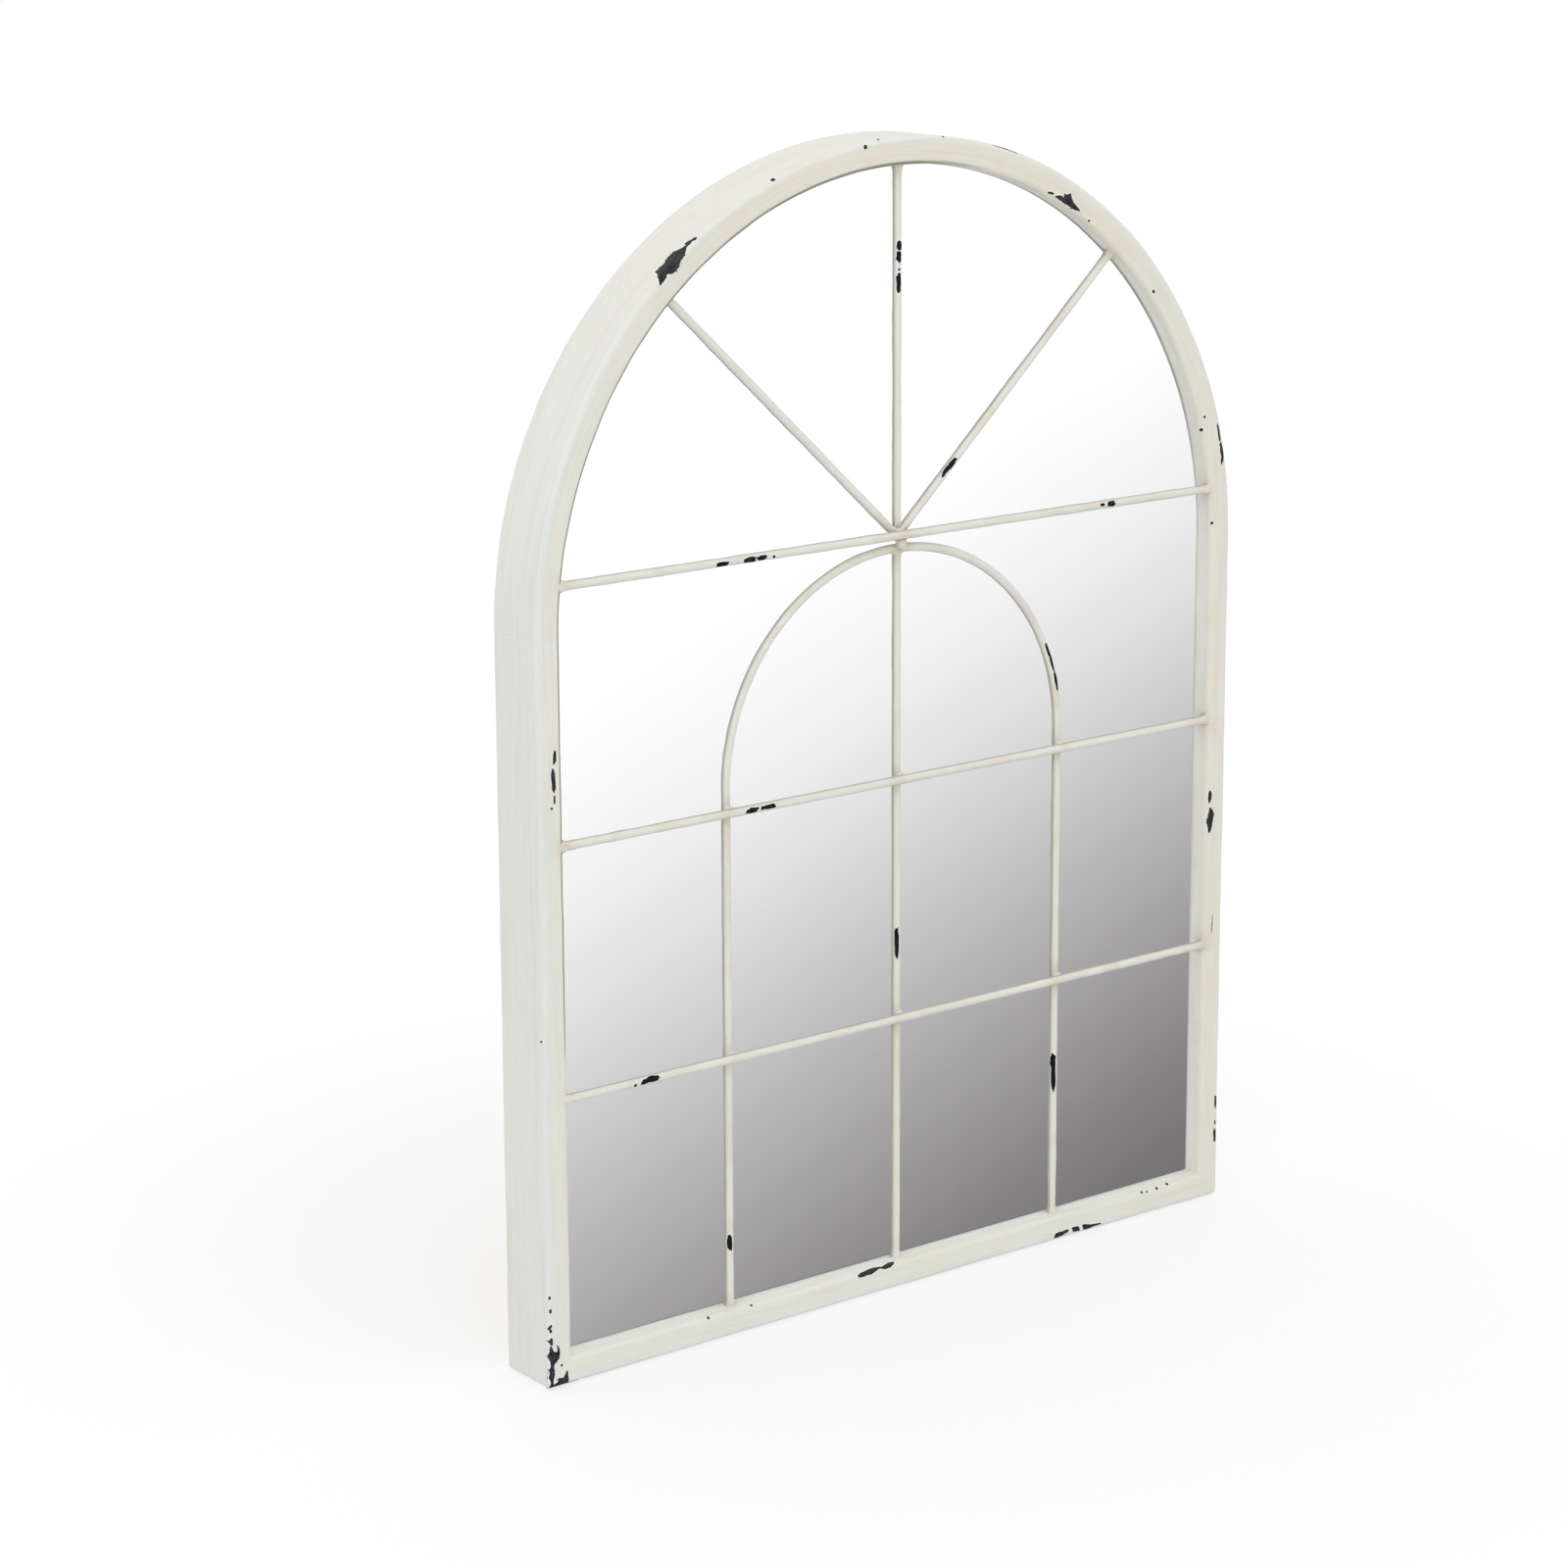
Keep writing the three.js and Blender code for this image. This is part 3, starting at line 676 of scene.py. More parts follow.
def edged_flake(place, rows, grow, top):
    """A flake between two broken edges. Each row holds the two edges' places as s, a, s, a;
    rows are joined by straight lines and narrowed by seeded amounts, and the flat top falls
    under the surface at the rim."""
    rows = np.asarray(rows, float)
    at = np.arange(len(rows))
    fine = np.linspace(0, len(rows) - 1, 3 * len(rows) - 2)
    rows = columns(*(np.interp(fine, at, rows[:, k]) for k in range(4)))
    one, two = rows[:, :2], rows[:, 2:]
    middle, half = (one + two) / 2, (two - one) / 2
    reach = np.maximum(np.hypot(*half.T), 0.05)[:, None]
    broken = np.random.default_rng(len(rows)).uniform(-0.13, 0.13, (len(rows), 1))
    half = half * (reach * (1 + broken * np.minimum(reach, 1.0)) + grow) / reach
    ends = middle[[0, -1]] - middle[[1, -2]]
    ends = ends / np.maximum(np.hypot(*ends.T), 1e-6)[:, None]
    middle[[0, -1]] += grow * ends
    across = np.concatenate([[-0.5, -0.97, -1.0], np.linspace(-0.9, 0.9, 13), [1.0, 0.97, 0.5]])
    lift = np.concatenate([[-2.2, -1.6, 0.1], np.full(13, 1.0), [0.1, -1.6, -2.2]]) * top
    where = middle[:, None] + across[:, None] * half[:, None]
    return shell(place(where[..., 0], where[..., 1], np.broadcast_to(lift, where.shape[:2])))


# On the frame: mm along its outer line, mm round from its outer front corner, half length,
# half width, turn in degrees
FRAME_CHIPS = [
    (436.2, -0.4, 0.9, 0.55, 0), (475.5, 1.0, 0.75, 0.65, 0), (509.8, -0.6, 0.4, 0.5, 0),
    (482.0, -0.9, 0.4, 0.5, 0), (538.0, -0.2, 6.2, 0.2, 1),
    (585.5, 8.0, 0.4, 0.4, 0), (629.0, 6.9, 0.6, 0.6, 0), (690.5, 9.0, 0.65, 0.65, 0),
    (686.0, 6.6, 0.5, 0.5, 0), (728.0, 8.4, 0.5, 0.5, 0),
    (694.5, 1.5, 4.0, 0.45, 2), (701.5, 1.4, 3.6, 0.7, -3), (705.0, 1.9, 1.6, 0.5, 20),
    (215.8, 5.9, 2.5, 0.6, 2), (208.2, 5.3, 4.0, 0.85, -2), (201.8, 5.6, 1.6, 0.35, 0),
    (199.0, 4.5, 0.4, 0.35, 0),
    (121.0, -0.8, 0.4, 0.4, 0), (91.0, -0.8, 0.45, 0.4, 0),
    (32.2, 0.4, 0.6, 0.35, 0), (27.5, 0.6, 0.7, 0.4, 0), (7.6, 4.6, 0.4, 0.4, 0),
    (1284.5, 0.1, 5.0, 0.32, 0),
    (880.0, 4.9, 3.8, 0.2, 3), (1207.0, 8.7, 0.45, 0.4, 0), (1225.5, 8.7, 0.5, 0.45, 0),
    (1025.0, 8.6, 0.55, 0.45, 0), (1022.5, 8.3, 0.4, 0.4, 0), (1017.5, 8.5, 0.6, 0.45, 0),
    (1012.0, 9.0, 0.65, 0.5, 0),
    (950.0, 1.3, 2.6, 0.6, 0), (958.2, 1.4, 0.9, 0.35, 0), (963.2, 1.4, 2.9, 0.7, 0),
]

# The larger chips on the frame, edge to edge
EDGED_CHIPS = [
    [(380, 1.1, 380, 1.3), (381, -0.2, 382.5, 1.5), (382.2, -1.6, 384, 0.9),
     (383.5, -4.2, 385.2, 1.4), (384.8, -4.6, 386.8, 2.8), (386, -4.3, 388.2, 2.7),
     (387.2, -3.7, 389.8, 2.3), (388, -3.7, 389.7, 1.9), (389.2, -4.6, 391, 1.4),
     (391, -4.7, 392, 1.3), (393, -4.3, 393.5, 1), (394, -3, 395.2, 0.1),
     (395.2, -1.8, 396, -0.5), (396.5, -1.3, 397.5, -0.3), (397.2, -2.7, 398.5, -0.5),
     (398.2, -2.3, 399.2, -0.4), (399.2, -1.5, 400.2, -0), (400.5, -1, 401, -0.4)],
    [(566, 7.8, 566.2, 8), (567.2, 7.1, 568, 8.2), (568.5, 6.4, 570, 8.3),
     (569.8, 6.7, 571.2, 8.3), (569.5, 5.2, 572.2, 8.3), (570.8, 5, 573.5, 8.3),
     (572, 3.7, 575, 8.5), (573.5, 5.2, 576, 8.2), (575.2, 6.2, 577.2, 8),
     (577.2, 6.6, 578.2, 7.8), (578.8, 6.9, 579.5, 7.4)],
    [(562, 8, 562.2, 8.2), (562.2, 7.7, 562.8, 8.2), (563.2, 7.3, 563.8, 8),
     (564.5, 7.2, 565, 7.7)],
    [(22.8, 0.8, 22.8, 0.9), (22.2, 0.1, 22, 1), (21.2, -0.5, 21.2, 0.4), (20.8, 0.2, 20.8, 1),
     (20, 0.3, 20, 0.8)],
    [(18, 0.5, 18, 1), (17.5, 0.4, 17.2, 1.2), (17, -0.7, 16.8, 1.2), (16.2, 0.2, 16, 1.2),
     (15.5, 0.5, 15.5, 1)],
    [(15, 0.3, 15, 0.8), (14, 0.1, 13.2, 1.5), (13, -0, 12, 3.6), (11.8, -0.8, 10.5, 3.8),
     (10.8, -0.5, 10, 3.5), (9.8, 0.1, 9, 2.5), (8.8, 0.4, 8.5, 1.6), (7.8, 0.4, 7.5, 1.5),
     (6.5, -0.3, 6.2, 1.7), (5.5, -0, 5, 1.9), (4, -0.4, 4, 1.6), (3, 0.2, 3, 1.2),
     (2, 0.4, 2, 1.2), (1, -0, 1.2, 1.2), (0.5, -0.4, 0.5, 1.5)],
    [(15, 2.7, 14.8, 3.2), (13.8, 3, 13.5, 3.9), (12.8, 2.8, 12.2, 4), (12.2, 2, 11.2, 3.8)],
    [(0.9, -0.8, 0.2, -0.6), (1.5, 1.2, 0.1, 1.1), (1.8, 2.5, 0.1, 2.7), (2.2, 3.2, 0.1, 3.9),
     (3, 2.6, 0.1, 5.3), (3.4, 3.6, 0.2, 6.6), (3, 4.9, 0.8, 7.4), (3.6, 5.6, 1.8, 7.4),
     (4.3, 6.1, 3.2, 7.1), (5.1, 6.6, 4.8, 7)],
    [(1160.2, 8.2, 1160, 7.7), (1159.2, 8.8, 1159, 7.4), (1157.8, 9, 1157.5, 7.4),
     (1156.2, 9.1, 1156, 7.6), (1154, 9.5, 1154, 7.4), (1152.5, 9.5, 1152.5, 8),
     (1150.2, 9.2, 1150.2, 8.6), (1149, 8.9, 1149, 8.2), (1147.5, 9.3, 1147.8, 7.8),
     (1145.5, 9.9, 1145.8, 7.9), (1144, 9.8, 1144, 8.5), (1143.2, 9.5, 1143.5, 9)],
    [(828.5, 7.5, 828.8, 6.8), (829.8, 7.9, 830, 6.2), (831.2, 8, 831.8, 6.4),
     (833, 7.7, 833, 7.1)],
    [(835, 7.4, 835, 6.7), (836, 7.5, 836.2, 5.6), (837.5, 7.7, 838, 5),
     (839.2, 8.4, 839.8, 5.3), (840.5, 8.6, 840.8, 5.5), (842, 8, 842.2, 5.8),
     (843.5, 7.8, 843.8, 6.4), (844.5, 7.5, 844.5, 6.8)],
    [(1068.5, 1.2, 1068, 0.7), (1067.8, 2.7, 1066.2, 0.6), (1065, 2.6, 1064, 1.1),
     (1063, 2.7, 1062, 1.6), (1061.8, 2.7, 1061.5, 2.3)],
    [(1060, 2.8, 1059.2, 1.1), (1058.2, 3, 1057.5, 0.9), (1056.8, 2.8, 1055.8, 0.8)],
    [(1054.8, 2.7, 1054.2, 0.9), (1053.2, 2.8, 1052, 0.4), (1051.5, 2.2, 1050.5, 0.7),
     (1048.8, 1.8, 1048.2, 1), (1045.8, 1.5, 1045.5, 1)],
]

# On the rods, in runs on one rod: mm across and up, mm round from the front, half length,
# half width
ROD_CHIPS = [
    ("crown", [
        (0, 369.6, 0.1, 1.7, 1.0), (0, 366.0, 0.3, 1.95, 0.95), (0, 361.6, 0.3, 0.4, 0.35),
        (0, 358.0, 0.3, 2.4, 0.95), (0, 355.4, 0.45, 1.8, 0.7),
    ]),
    ("fan", [(24.9, 291.2, 0.55, 2.7, 0.85), (22.3, 288.8, 0.8, 2.5, 0.75)]),
    ("upper_cross", [
        (-77.6, 271, -0.45, 2.75, 0.9), (-66.6, 271, -0.3, 2.9, 0.9),
        (-61.8, 271, -0.2, 2.3, 0.8), (-56.5, 271, -0.4, 0.5, 0.45), (0.2, 271, -1.8, 1.2, 0.5),
        (90.3, 271, 0.3, 1.1, 0.5), (94.3, 271, 0.2, 2.0, 0.95),
    ]),
    ("middle_cross", [
        (-66.2, 185, 0.0, 2.8, 0.9), (-62.3, 185, -0.1, 0.7, 0.45), (-58.8, 185, 0.15, 2.8, 0.9),
    ]),
    ("lower_cross", [
        (-115.9, 99, -0.5, 0.6, 0.5), (-111.4, 99, 0.0, 2.2, 0.85), (-108.4, 99, 0.4, 2.8, 1.05),
    ]),
    ("inner_arch", [(-LEG, 32.4, 0.7, 3.0, 0.95)]),
    ("centre", [(0, 125.6, 0.7, 5.6, 0.85), (0, 128.9, 0.9, 2.0, 0.7)]),
    ("inner_arch", [
        (LEG, 62.0, -0.8, 6.4, 0.85), (LEG, 67.6, -1.1, 2.6, 1.15), (67.9, 220.9, 0.2, 3.0, 0.65),
        (69.8, 216.0, 0.3, 3.0, 0.7), (71.7, 209.6, 0.3, 4.0, 0.65),
    ]),
]

# How far each layer of a chip reaches beyond its outline and above the paint
EDGE_LAYER = (0.38, 0.07)
STEEL_LAYER = (0.12, 0.11)


def frame_chip_shells(grow, top):
    """Every chip on the frame as a flake, widened by grow and raised by top."""
    made = [
        flake(on_frame, s, w, half_long, half_wide, turn, 100 + k, grow, top)
        for k, (s, w, half_long, half_wide, turn) in enumerate(FRAME_CHIPS)
    ]
    return made + [edged_flake(on_frame, rows, grow, top) for rows in EDGED_CHIPS]


def rod_chip_shells(grow, top):
    """Every chip on the rods as a flake, widened by grow and raised by top."""
    chips = [(rods[name + "_rod"], *row) for name, rows in ROD_CHIPS for row in rows]
    return [
        flake(rod.place, rod.nearest(x, z), a, half_long, half_wide, 0, 300 + k, grow, top)
        for k, (rod, x, z, a, half_long, half_wide) in enumerate(chips)
    ]


# ---- finishes

def linear(red, green, blue):
    """A colour from screen values of 0 to 255 to the renderer's linear ones."""
    c = np.array([red, green, blue]) / 255
    return (*np.where(c <= 0.04045, c / 12.92, ((c + 0.055) / 1.055) ** 2.4), 1.0)


def put(tree, socket, value):
    """Gives an input a value or a link."""
    if isinstance(value, bpy.types.NodeSocket):
        tree.links.new(value, socket)
    else:
        socket.default_value = value


def node(tree, kind, inputs=None, **settings):
    """Adds a shader node, sets it and its inputs, and gives its outputs."""
    made = tree.nodes.new("ShaderNode" + kind)
    for key, value in settings.items():
        setattr(made, key, value)
    for key, value in (inputs or {}).items():
        put(tree, made.inputs[key], value)
    return made.outputs


def connect(tree, shader, **sockets):
    """Sets or links the shader's inputs, underscores standing for spaces."""
    for label, value in sockets.items():
        put(tree, shader.inputs[label.replace("_", " ")], value)


def sum_of(tree, operation, *values):
    """One Math node's value."""
    return node(tree, "Math", dict(enumerate(values)), operation=operation)[0]


def times(tree, product, *factors):
    """Values multiplied one after another."""
    for factor in factors:
        product = sum_of(tree, "MULTIPLY", product, factor)
    return product


def blend(tree, factor, first, second, kind="MIX"):
    """A mix of two colours by a factor."""
    inputs = {0: factor, 6: first, 7: second}
    return node(tree, "Mix", inputs, data_type="RGBA", blend_type=kind)[2]


def spread(tree, value, *ends):
    """A value's range (low, high) moved to another (0 to 1), smoothly and clamped."""
    inputs = dict(enumerate((value, *ends)))
    return node(tree, "MapRange", inputs, interpolation_type="SMOOTHSTEP")[0]


def noise(tree, vector, scale, detail, roughness=0.5):
    """A noise texture's value."""
    inputs = {"Vector": vector, "Scale": scale, "Detail": detail, "Roughness": roughness}
    return node(tree, "TexNoise", inputs)[0]


def grey(tree, value):
    """A colour of one level."""
    return node(tree, "CombineColor", {0: value, 1: value, 2: value})[0]


def effect(name, place, sizes, masks):
    """An empty node group: a place and sizes in millimetres come in, and masks go out."""
    tree = bpy.data.node_groups.new(name, "ShaderNodeTree")
    add = tree.interface.new_socket
    add(place, in_out="INPUT", socket_type="NodeSocketVector")
    for label, value in sizes.items():
        add(label, in_out="INPUT", socket_type="NodeSocketFloat").default_value = value
    for label in masks:
        add(label, in_out="OUTPUT", socket_type="NodeSocketFloat")
    given, out = (tree.nodes.new("NodeGroup" + end) for end in ("Input", "Output"))
    return tree, given.outputs, out.inputs


def drawn_streaks():
    """Noise stretched along the first length: brush and draw marks, and a fine bump."""
    tree, given, out = effect(
        "drawn_streaks", "Lengths", {"Long": 30.0, "Wide": 1.0}, ("Mask", "Fine")
    )
    tall, wide = (sum_of(tree, "DIVIDE", 1.0, given[size]) for size in ("Long", "Wide"))
    stretch = node(tree, "CombineXYZ", {0: tall, 1: wide, 2: 1.0})[0]
    inputs = {0: given["Lengths"], 1: stretch}
    moved = node(tree, "VectorMath", inputs, operation="MULTIPLY")[0]
    put(tree, out["Mask"], spread(tree, noise(tree, moved, 1.0, 5.0, 0.62), 0.3, 0.7))
    put(tree, out["Fine"], noise(tree, given["Lengths"], 1.4, 4.0, 0.6))
    return tree


def cloudy_patches():
    """Slow mottling through space, in patches of a given size."""
    tree, given, out = effect("cloudy_patches", "Place", {"Size": 40.0}, ("Mask",))
    scale = sum_of(tree, "DIVIDE", 1 / MM, given["Size"])
    put(tree, out["Mask"], spread(tree, noise(tree, given["Place"], scale, 3.0), 0.32, 0.68))
    return tree


streaks, patches = drawn_streaks(), cloudy_patches()


def cloud(tree, place, size):
    """The mottling's mask in a material."""
    return node(tree, "Group", {"Place": place, "Size": size}, node_tree=patches)["Mask"]


def new_finish(name):
    """A material with its tree, its Principled shader and the place on the object."""
    made = bpy.data.materials.new(name)
    made.use_nodes = True
    tree = made.node_tree
    return made, tree, tree.nodes["Principled BSDF"], node(tree, "TexCoord")["Object"]


def cream_paint(name, side_tone, front_tone, inner_tone, warm_tone, rust, rubbed, painted_shade, shade_range):
    """Old cream paint: a cooler tone on the sides and a creamier one on the face, a lighter
    tone on the frame's inner wall that is painted light, soft pink, straw and bluish streaks
    drawn along each member, a warmer crown, tan stain round the welds, and painted shade
    where the side mask passes the range shade_range; dull, with a fine bump.
    """
    made, tree, shader, place = new_finish(name)
    lengths = node(tree, "UVMap", uv_map="lengths")[0]

    def drawn(long, wide, shift=None):
        at = node(tree, "VectorMath", {0: lengths, 1: shift})[0] if shift else lengths
        inputs = {"Lengths": at, "Long": long, "Wide": wide}
        return node(tree, "Group", inputs, node_tree=streaks)

    def ranged(value, *ends):
        return spread(tree, value, *ends)

    def mask(label):
        return node(tree, "Attribute", attribute_name=label)["Fac"]

    streak, fine = (drawn(26.0, 0.9)[label] for label in ("Mask", "Fine"))
    wide_streak = drawn(60.0, 3.2)["Mask"]
    hue_streak = drawn(45.0, 4.5, (311.0, 57.0, 9.0))["Mask"]
    dabs = drawn(9.0, 3.0, (77.0, 19.0, 4.0))["Mask"]
    small_cloud = cloud(tree, place, 9.0)
    girth = node(tree, "SeparateXYZ", {0: lengths})["Y"]
    facing = times(tree, ranged(girth, 0.4, 3.4), ranged(girth, 9.5, 12.5, 1.0, 0.35))
    inside = times(tree, ranged(girth, 9.0, 11.0), ranged(girth, 29.0, 33.0, 1.0, 0.0))
    straw = times(tree, ranged(hue_streak, 0.55, 1.0, 0.0, 0.55), ranged(facing, 0, 1, 0.35, 1))
    across, _, high = node(tree, "SeparateXYZ", {0: place})[:3]
    crown = sum_of(tree, "MAXIMUM", ranged(high, 0.31, 0.39), ranged(across, 0.07, 0.15, 0, 0.7))
    warmth = times(
        tree, crown, ranged(small_cloud, 0, 1, 0.45, 0.9), ranged(facing, 0, 1, 0.25, 1)
    )
    bare = ranged(cloud(tree, place, 17.0), 0.62, 0.95)
    layers = [
        # On the frame, a lighter inner tone on the inner wall: painted light
        (inside, inner_tone),
        (straw, (222, 220, 199)),
        (ranged(hue_streak, 0.45, 0.0, 0.0, 0.5), (224, 217, 211)),
        (ranged(dabs, 0.5, 1.0, 0.0, 0.4), (228, 219, 207)),
        (ranged(dabs, 0.5, 0.0, 0.0, 0.4), (220, 224, 223)),
        (warmth, warm_tone),
        (times(tree, streak, 0.28), (233, 234, 229)),
        (ranged(wide_streak, 0.45, 1.0, 0.0, 0.28), (207, 206, 196)),
        (times(tree, bare, rubbed, ranged(streak, 0.1, 0.8, 0.3, 1.1)), (210, 187, 160)),
        (times(tree, mask("tint"), ranged(small_cloud, 0.1, 0.9, 0.25, 1), rust), (190, 166, 138)),
        # Painted shade: darker where the side mask passes its range
        (
            times(tree, ranged(mask("side"), *shade_range), ranged(streak, 0, 0.6, 0.7, 1), painted_shade),
            (124, 122, 108),
        ),
    ]
    colour = blend(tree, facing, linear(*side_tone), linear(*front_tone))
    for factor, tone in layers:
        colour = blend(tree, factor, colour, linear(*tone))
    height = sum_of(tree, "ADD", fine, streak)
    bump = node(tree, "Bump", {"Strength": 0.25, "Distance": 0.00012, "Height": height})[0]
    rough = ranged(fine, 0.3, 0.7, 0.52, 0.66)
    connect(tree, shader, Base_Color=colour, Roughness=rough, Normal=bump)
    return made


def two_tones(name, size, first, second, smooth, rough, **sockets):
    """A finish of two tones, and of smoother and rougher places, in patches of a size."""
    made, tree, shader, place = new_finish(name)
    share = cloud(tree, place, size)
    colour = blend(tree, share, linear(*first), linear(*second))
    dull = spread(tree, share, 0, 1, smooth, rough)
    connect(tree, shader, Base_Color=colour, Roughness=dull, **sockets)
    return made


def fibreboard():
    """Pressed fibreboard: brown, flecked with short pale and dark fibres."""
    made, tree, shader, place = new_finish("pressed_fibreboard")
    fleck = noise(tree, place, 900.0, 3.0, 0.7)
    inputs = {"Vector": place, "Rotation": (0.0, 0.6, 0.0), "Scale": (160.0, 160.0, 1100.0)}
    fibre = noise(tree, node(tree, "Mapping", inputs)[0], 1.0, 4.0, 0.65)
    colour = blend(tree, cloud(tree, place, 60.0), linear(158, 122, 84), linear(142, 106, 70))
    pale, dark = spread(tree, fibre, 0.42, 0.7, 0.0, 0.6), spread(tree, fleck, 0.5, 0.75, 0.0, 0.55)
    colour = blend(tree, pale, colour, linear(190, 158, 118))
    colour = blend(tree, dark, colour, linear(98, 70, 45))
    bump = node(tree, "Bump", {"Strength": 0.35, "Distance": 0.0002, "Height": fleck})[0]
    rough = spread(tree, fibre, 0.3, 0.7, 0.75, 0.9)
    connect(tree, shader, Base_Color=colour, Roughness=rough, Normal=bump)
    return made


def zinc_plate():
    """Zinc plate: grey metal with a fine spangle and dull rubbed patches."""
    made, tree, shader, place = new_finish("zinc_plate")
    spangle = node(tree, "TexVoronoi", {"Vector": place, "Scale": 900.0})["Color"]
    grain = node(tree, "SeparateColor", {0: spangle})[0]
    rub = cloud(tree, place, 4.0)
    colour = blend(tree, grain, linear(176, 178, 180), linear(198, 200, 201))
    colour = blend(tree, spread(tree, rub, 0.5, 1.0, 0.0, 0.5), colour, linear(150, 150, 148))
    rough = spread(tree, rub, 0, 1, 0.28, 0.48)
    connect(tree, shader, Base_Color=colour, Metallic=1.0, Roughness=rough)
    return made


# The frame's inner tone is painted light on its inner wall; its last two values set the painted
# shade on the inner arris and along the glass
frame_paint = cream_paint(
    "cream_paint_on_frame", (216, 219, 216), (218, 219, 206), (230, 233, 226),
    (219, 211, 195), 0.3, 0.05, 0.85, (0.30, 0.85),
)
# On the rods the last two values set painted shade on their sides and backs
rod_paint = cream_paint(
    "cream_paint_on_rods", (216, 216, 206), (217, 217, 206), (216, 216, 204),
    (219, 217, 205), 0.4, 0.28, 0.62, (0.14, 0.5),
)
weld_paint = cream_paint(
    "cream_paint_on_welds", (216, 214, 203), (215, 213, 202), (215, 213, 202),
    (215, 211, 199), 0.12, 0.1, 0.0, (0.3, 0.8),
)
# Steel where the paint is gone, the paint's broken edge, painted a little brighter than its
# face as a painted highlight, and silvered glass with a faint haze
frame_steel = two_tones(
    "bare_charcoal_steel", 2.2, (28, 28, 31), (56, 55, 57), 0.55, 0.7, Specular_IOR_Level=0.25
)
rod_steel = two_tones(
    "bare_dark_steel", 2.2, (12, 12, 13), (28, 28, 29), 0.55, 0.7, Specular_IOR_Level=0.12
)
rim_paint_and_highlight = two_tones("broken_paint_edge", 3.0, (232, 231, 225), (248, 248, 244), 0.5, 0.65)
silver = two_tones(
    "silvered_glass", 90.0, (254, 254, 254), (255, 255, 255), 0.008, 0.02, Metallic=1.0
)
board_brown, zinc = fibreboard(), zinc_plate()

# ---- the pieces

make_piece(
    "painted_frame_loop", [frame_skin()], frame_paint,
    ("left_stile", "right_stile", "arch_tube", "bottom_rail"),
)
for k, (name, rod) in enumerate(rods.items()):
    skin = rod.skin(1000.0 * (k + 1))
    make_piece("painted_" + name, [skin], rod_paint, (name,))
make_piece("silvered_mirror_sheet", [mirror_skin()], silver, ("mirror_glass",))
make_piece("lattice_weld_lumps", weld_blobs(), weld_paint)
tab_metal, tab_welds = tab_skins()
tab_nodes = [name for name in nodes if name.startswith("tab_")]
make_piece("bent_retaining_tabs", tab_metal, zinc, tab_nodes)
make_piece("tab_weld_lumps", tab_welds, weld_paint)
for side, x in (("left", -HANGER_X), ("right", HANGER_X)):
    for name, skin, body, stands_for in (
        ("strap_of_" + side + "_hanger", strap_skin(x), "frame", "hanger_strap_" + side),
        ("screw_of_" + side + "_hanger", screw_skin(x), "frame", "hanger_screw_" + side),
        ("wire_ring_" + side, ring_skin(x), "ring_" + side, "hanger_ring_" + side),
    ):
        make_piece(name, [skin], zinc, (stands_for,), body)
# The chips' raised rims, lighter than the paint: a painted highlight
paint_edges = frame_chip_shells(*EDGE_LAYER) + rod_chip_shells(*EDGE_LAYER)
make_piece("broken_paint_edges", paint_edges, rim_paint_and_highlight)
make_piece("bare_steel_spots", frame_chip_shells(*STEEL_LAYER), frame_steel)
make_piece("bare_steel_on_rods", rod_chip_shells(*STEEL_LAYER), rod_steel)

special = {"mirror_glass": silver, "backing_board": board_brown}
for name, cad in nodes.items():
    usual = zinc if name.startswith(("tab_", "hanger_")) else frame_paint
    cad.data.materials.clear()
    cad.data.materials.append(special.get(name, usual))

# The lattice lies so close to the glass that its reflection is lost in the studio's
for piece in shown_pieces():
    if piece.name.startswith(("painted_", "lattice_", "broken_", "bare_")):
        piece.visible_glossy = False

# ---- studio

def studio_floor():
    """A pale disc under the mirror that keeps its shadow and fades to white further out."""
    reach = np.array([20.0, 80, 160, 300, 500, 800, 1300, 2200, 3600])
    r, t = np.meshgrid(reach, circle(96), indexing="ij")
    grid = columns(r * np.cos(t), r * np.sin(t), -0.4)
    under = grid[::-1] + [0, 0, -8.0]
    made, tree, shader, place = new_finish("pale_studio_floor")
    out = node(tree, "VectorMath", {0: place}, operation="LENGTH")[1]
    pale = (0.86, 0.86, 0.86, 1.0)
    connect(tree, shader, Base_Color=pale, Roughness=0.9, Specular_IOR_Level=0.0)
    white = node(tree, "Emission", {"Color": (1, 1, 1, 1), "Strength": 1.0})[0]
    seen = node(tree, "LightPath")["Is Camera Ray"]
    whiter = times(tree, spread(tree, out, 0.16, 0.44, 0.62, 1.0), seen)
    mixed = node(tree, "MixShader", {0: whiter, 1: shader.outputs[0], 2: white})[0]
    put(tree, tree.nodes["Material Output"].inputs[0], mixed)
    skin = shell(np.concatenate([grid, under]))
    floor = placed("studio_floor", make_mesh("studio_floor", [skin], made))
    floor.visible_glossy = False
    floor.visible_diffuse = False


# The grey that the mirror shows against the slope of a reflected ray
GREY_STOPS = [
    (-0.95, 100), (-0.8595, 118.2), (-0.8257, 133.6), (-0.7919, 151.8), (-0.7581, 170.4),
    (-0.7242, 188.7), (-0.6904, 206.4), (-0.6566, 223.2), (-0.6228, 237.9), (-0.5889, 248.9),
    (-0.5551, 254.8), (-0.50, 255),
]


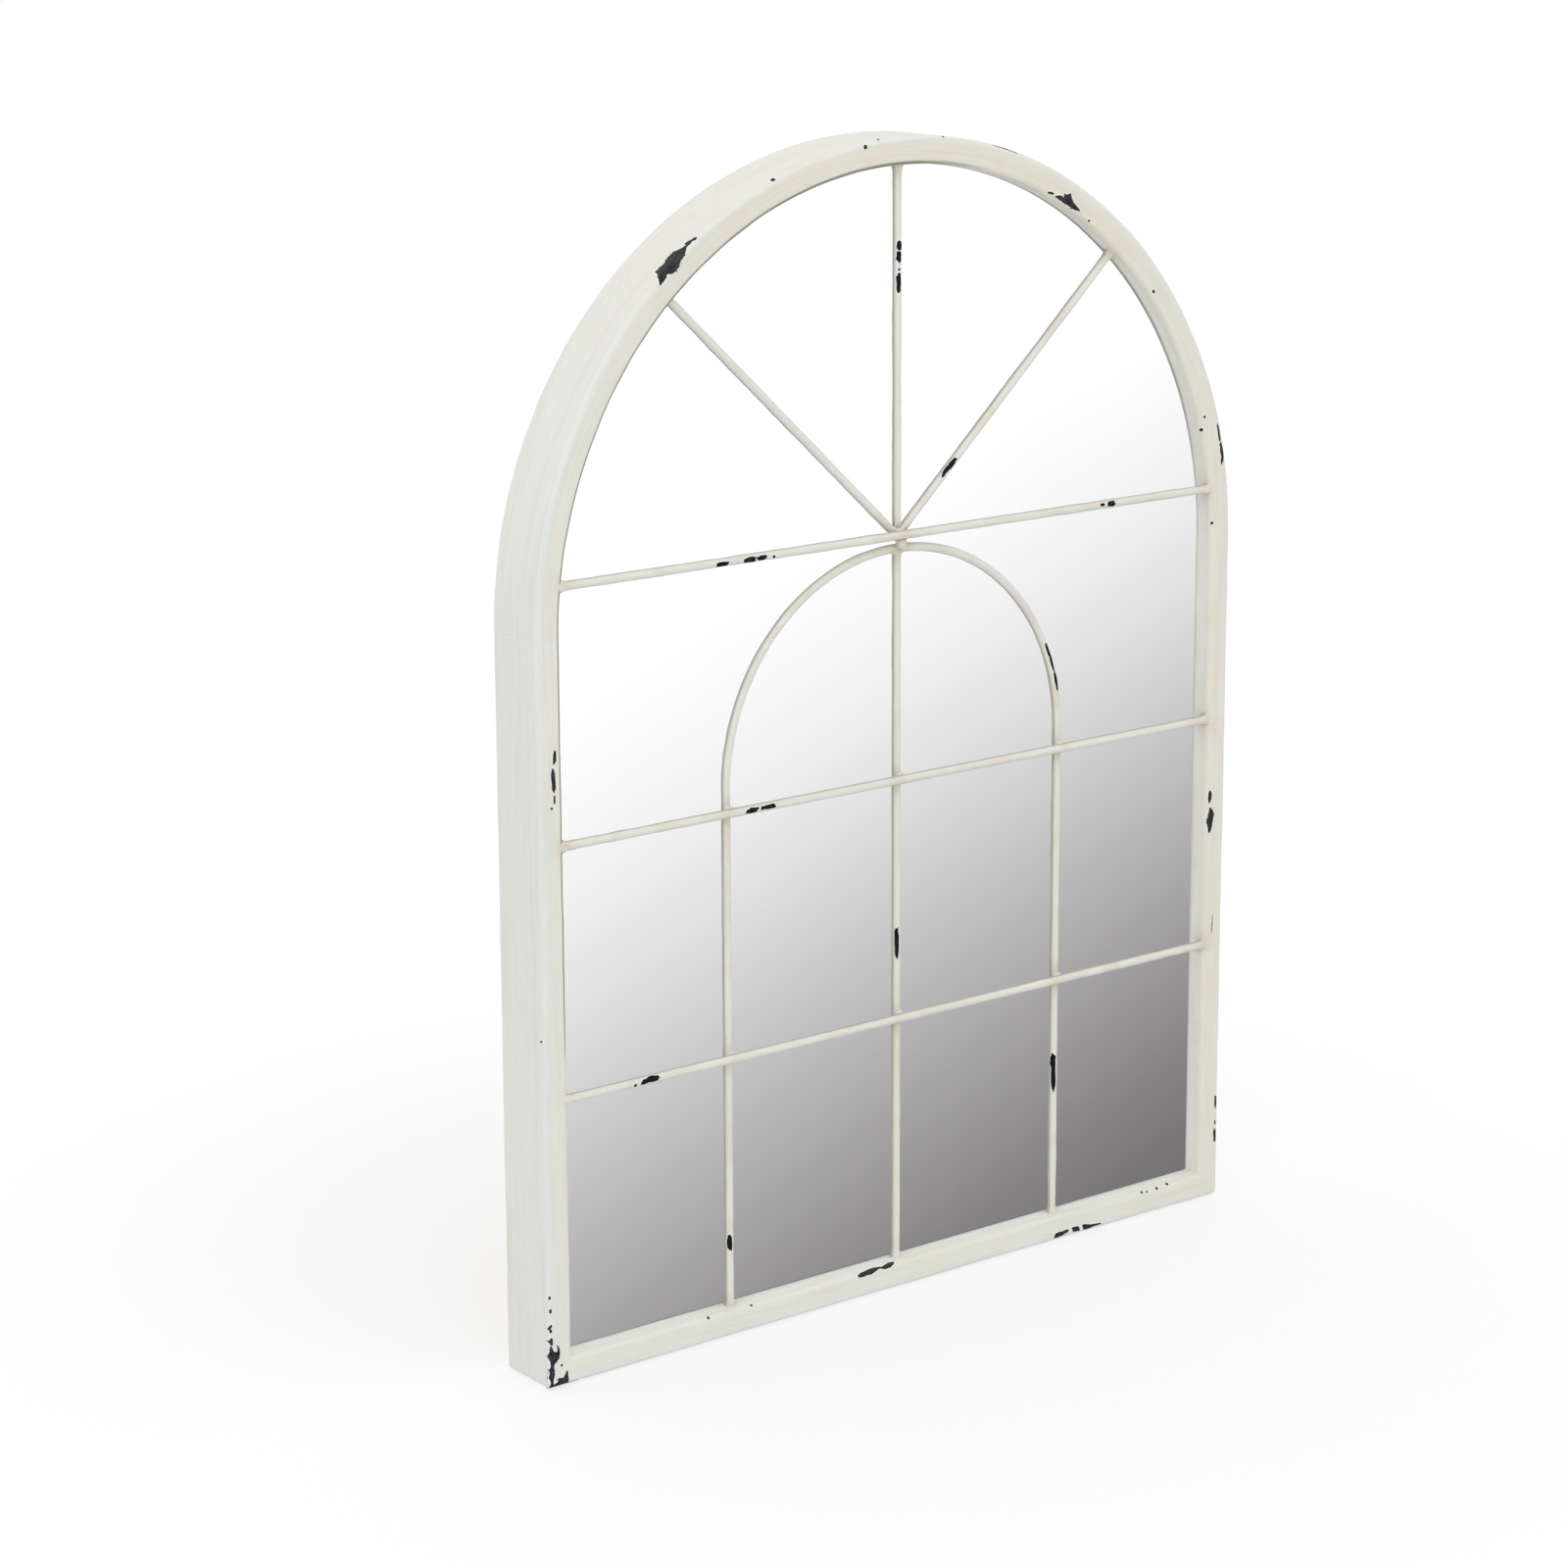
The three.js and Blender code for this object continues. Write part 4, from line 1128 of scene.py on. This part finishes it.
def studio_world():
    """White behind the object, soft light that is stronger from above, and for reflections
    a slope of grey that runs from white above to dark below and to the right."""
    world = bpy.data.worlds.new("studio")
    bpy.context.scene.world = world
    world.use_nodes = True
    tree = world.node_tree
    direction = node(tree, "TexCoord")["Generated"]
    x, y, z = node(tree, "SeparateXYZ", {0: direction})[:3]
    soft = grey(tree, sum_of(tree, "MULTIPLY_ADD", z, 0.14, 0.95))
    towards = sum_of(tree, "MAXIMUM", times(tree, y, -1.0), 0.15)
    slope = sum_of(tree, "DIVIDE", sum_of(tree, "MULTIPLY_ADD", x, -0.4, z), towards)
    low, high = GREY_STOPS[0][0], GREY_STOPS[-1][0]
    ramp = tree.nodes.new("ShaderNodeValToRGB")
    elements = ramp.color_ramp.elements
    for at, _ in GREY_STOPS[1:-1]:
        elements.new((at - low) / (high - low))
    in_order = sorted(elements, key=lambda stop: stop.position)
    for stop, (_, level) in zip(in_order, GREY_STOPS):
        tinge = min(max((225 - level) / 60, 0.0), 1.0)
        stop.color = linear(*(level + 1.2 + share * tinge for share in (0.6, -1.6, -0.4)))
    put(tree, ramp.inputs[0], node(tree, "MapRange", {0: slope, 1: low, 2: high})[0])
    head_on = sum_of(tree, "MULTIPLY_ADD", sum_of(tree, "DIVIDE", z, towards), 0.9, 0.88)
    head_on = spread(tree, head_on, 0.45, 0.95, 0.5, 0.96)
    turned_away = spread(tree, sum_of(tree, "DIVIDE", x, towards), 0.05, 0.60)
    side = grey(tree, node(tree, "Mix", {0: turned_away, 2: head_on, 3: 1.0})[0])
    studio = blend(tree, 1.0, ramp.outputs[0], side, "MULTIPLY")
    path = node(tree, "LightPath")
    direct = sum_of(tree, "LESS_THAN", path["Diffuse Depth"], 0.5)
    colour = blend(tree, times(tree, path["Is Glossy Ray"], direct), soft, studio)
    clear = sum_of(tree, "MAXIMUM", path["Is Camera Ray"], path["Is Transmission Ray"])
    colour = blend(tree, clear, colour, (1, 1, 1, 1))
    connect(tree, tree.nodes["Background"], Color=colour, Strength=1.0)


def stand(made, right, up, back, place):
    """Puts a lamp or camera at a place in metres, turned by its three axes."""
    turned = np.column_stack([right, up, back, place])
    made.matrix_world = Matrix(np.vstack([turned, [0, 0, 0, 1]]).tolist())


def studio_lamp(name, place, aim, size, power):
    """A square soft lamp, in metres and watts, that looks at a point."""
    data = bpy.data.lights.new(name, "AREA")
    data.size, data.energy = size, power
    lamp = placed(name, data)
    away = np.array(place, float) - np.array(aim, float)
    away /= np.linalg.norm(away)
    side = np.cross([0.0, 0.0, 1.0], away)
    side /= np.linalg.norm(side)
    stand(lamp, side, np.cross(away, side), away, place)
    lamp.visible_glossy = False


def photograph_camera():
    """The camera at the photograph's place, from its heading, tilt and roll."""
    yaw, pitch, roll = (math.radians(a) for a in (37.545, -12.513, -0.261))
    flat = math.cos(pitch)
    forward = np.array([math.sin(yaw) * flat, math.cos(yaw) * flat, math.sin(pitch)])
    level = np.array([math.cos(yaw), -math.sin(yaw), 0.0])
    upright = np.cross(level, forward)
    right = level * math.cos(roll) + upright * math.sin(roll)
    up = upright * math.cos(roll) - level * math.sin(roll)
    data = bpy.data.cameras.new("photograph_camera")
    data.lens, data.sensor_width, data.shift_y = 92.227, 36.0, -0.08
    data.clip_start, data.clip_end = 0.05, 50.0
    camera = placed("photograph_camera", data)
    stand(camera, right, up, -forward, np.array([-852.77, -1053.71, 526.85]) * MM)
    bpy.context.scene.camera = camera


studio_floor()
studio_world()
studio_lamp("soft_overhead", (-0.2, -1.2, 1.5), (0, 0, 0.2), 1.4, 3.6)
studio_lamp("soft_left", (-1.7, -0.6, 0.6), (0, 0, 0.2), 1.4, 3.0)
photograph_camera()
bpy.context.scene.view_settings.view_transform = "Standard"
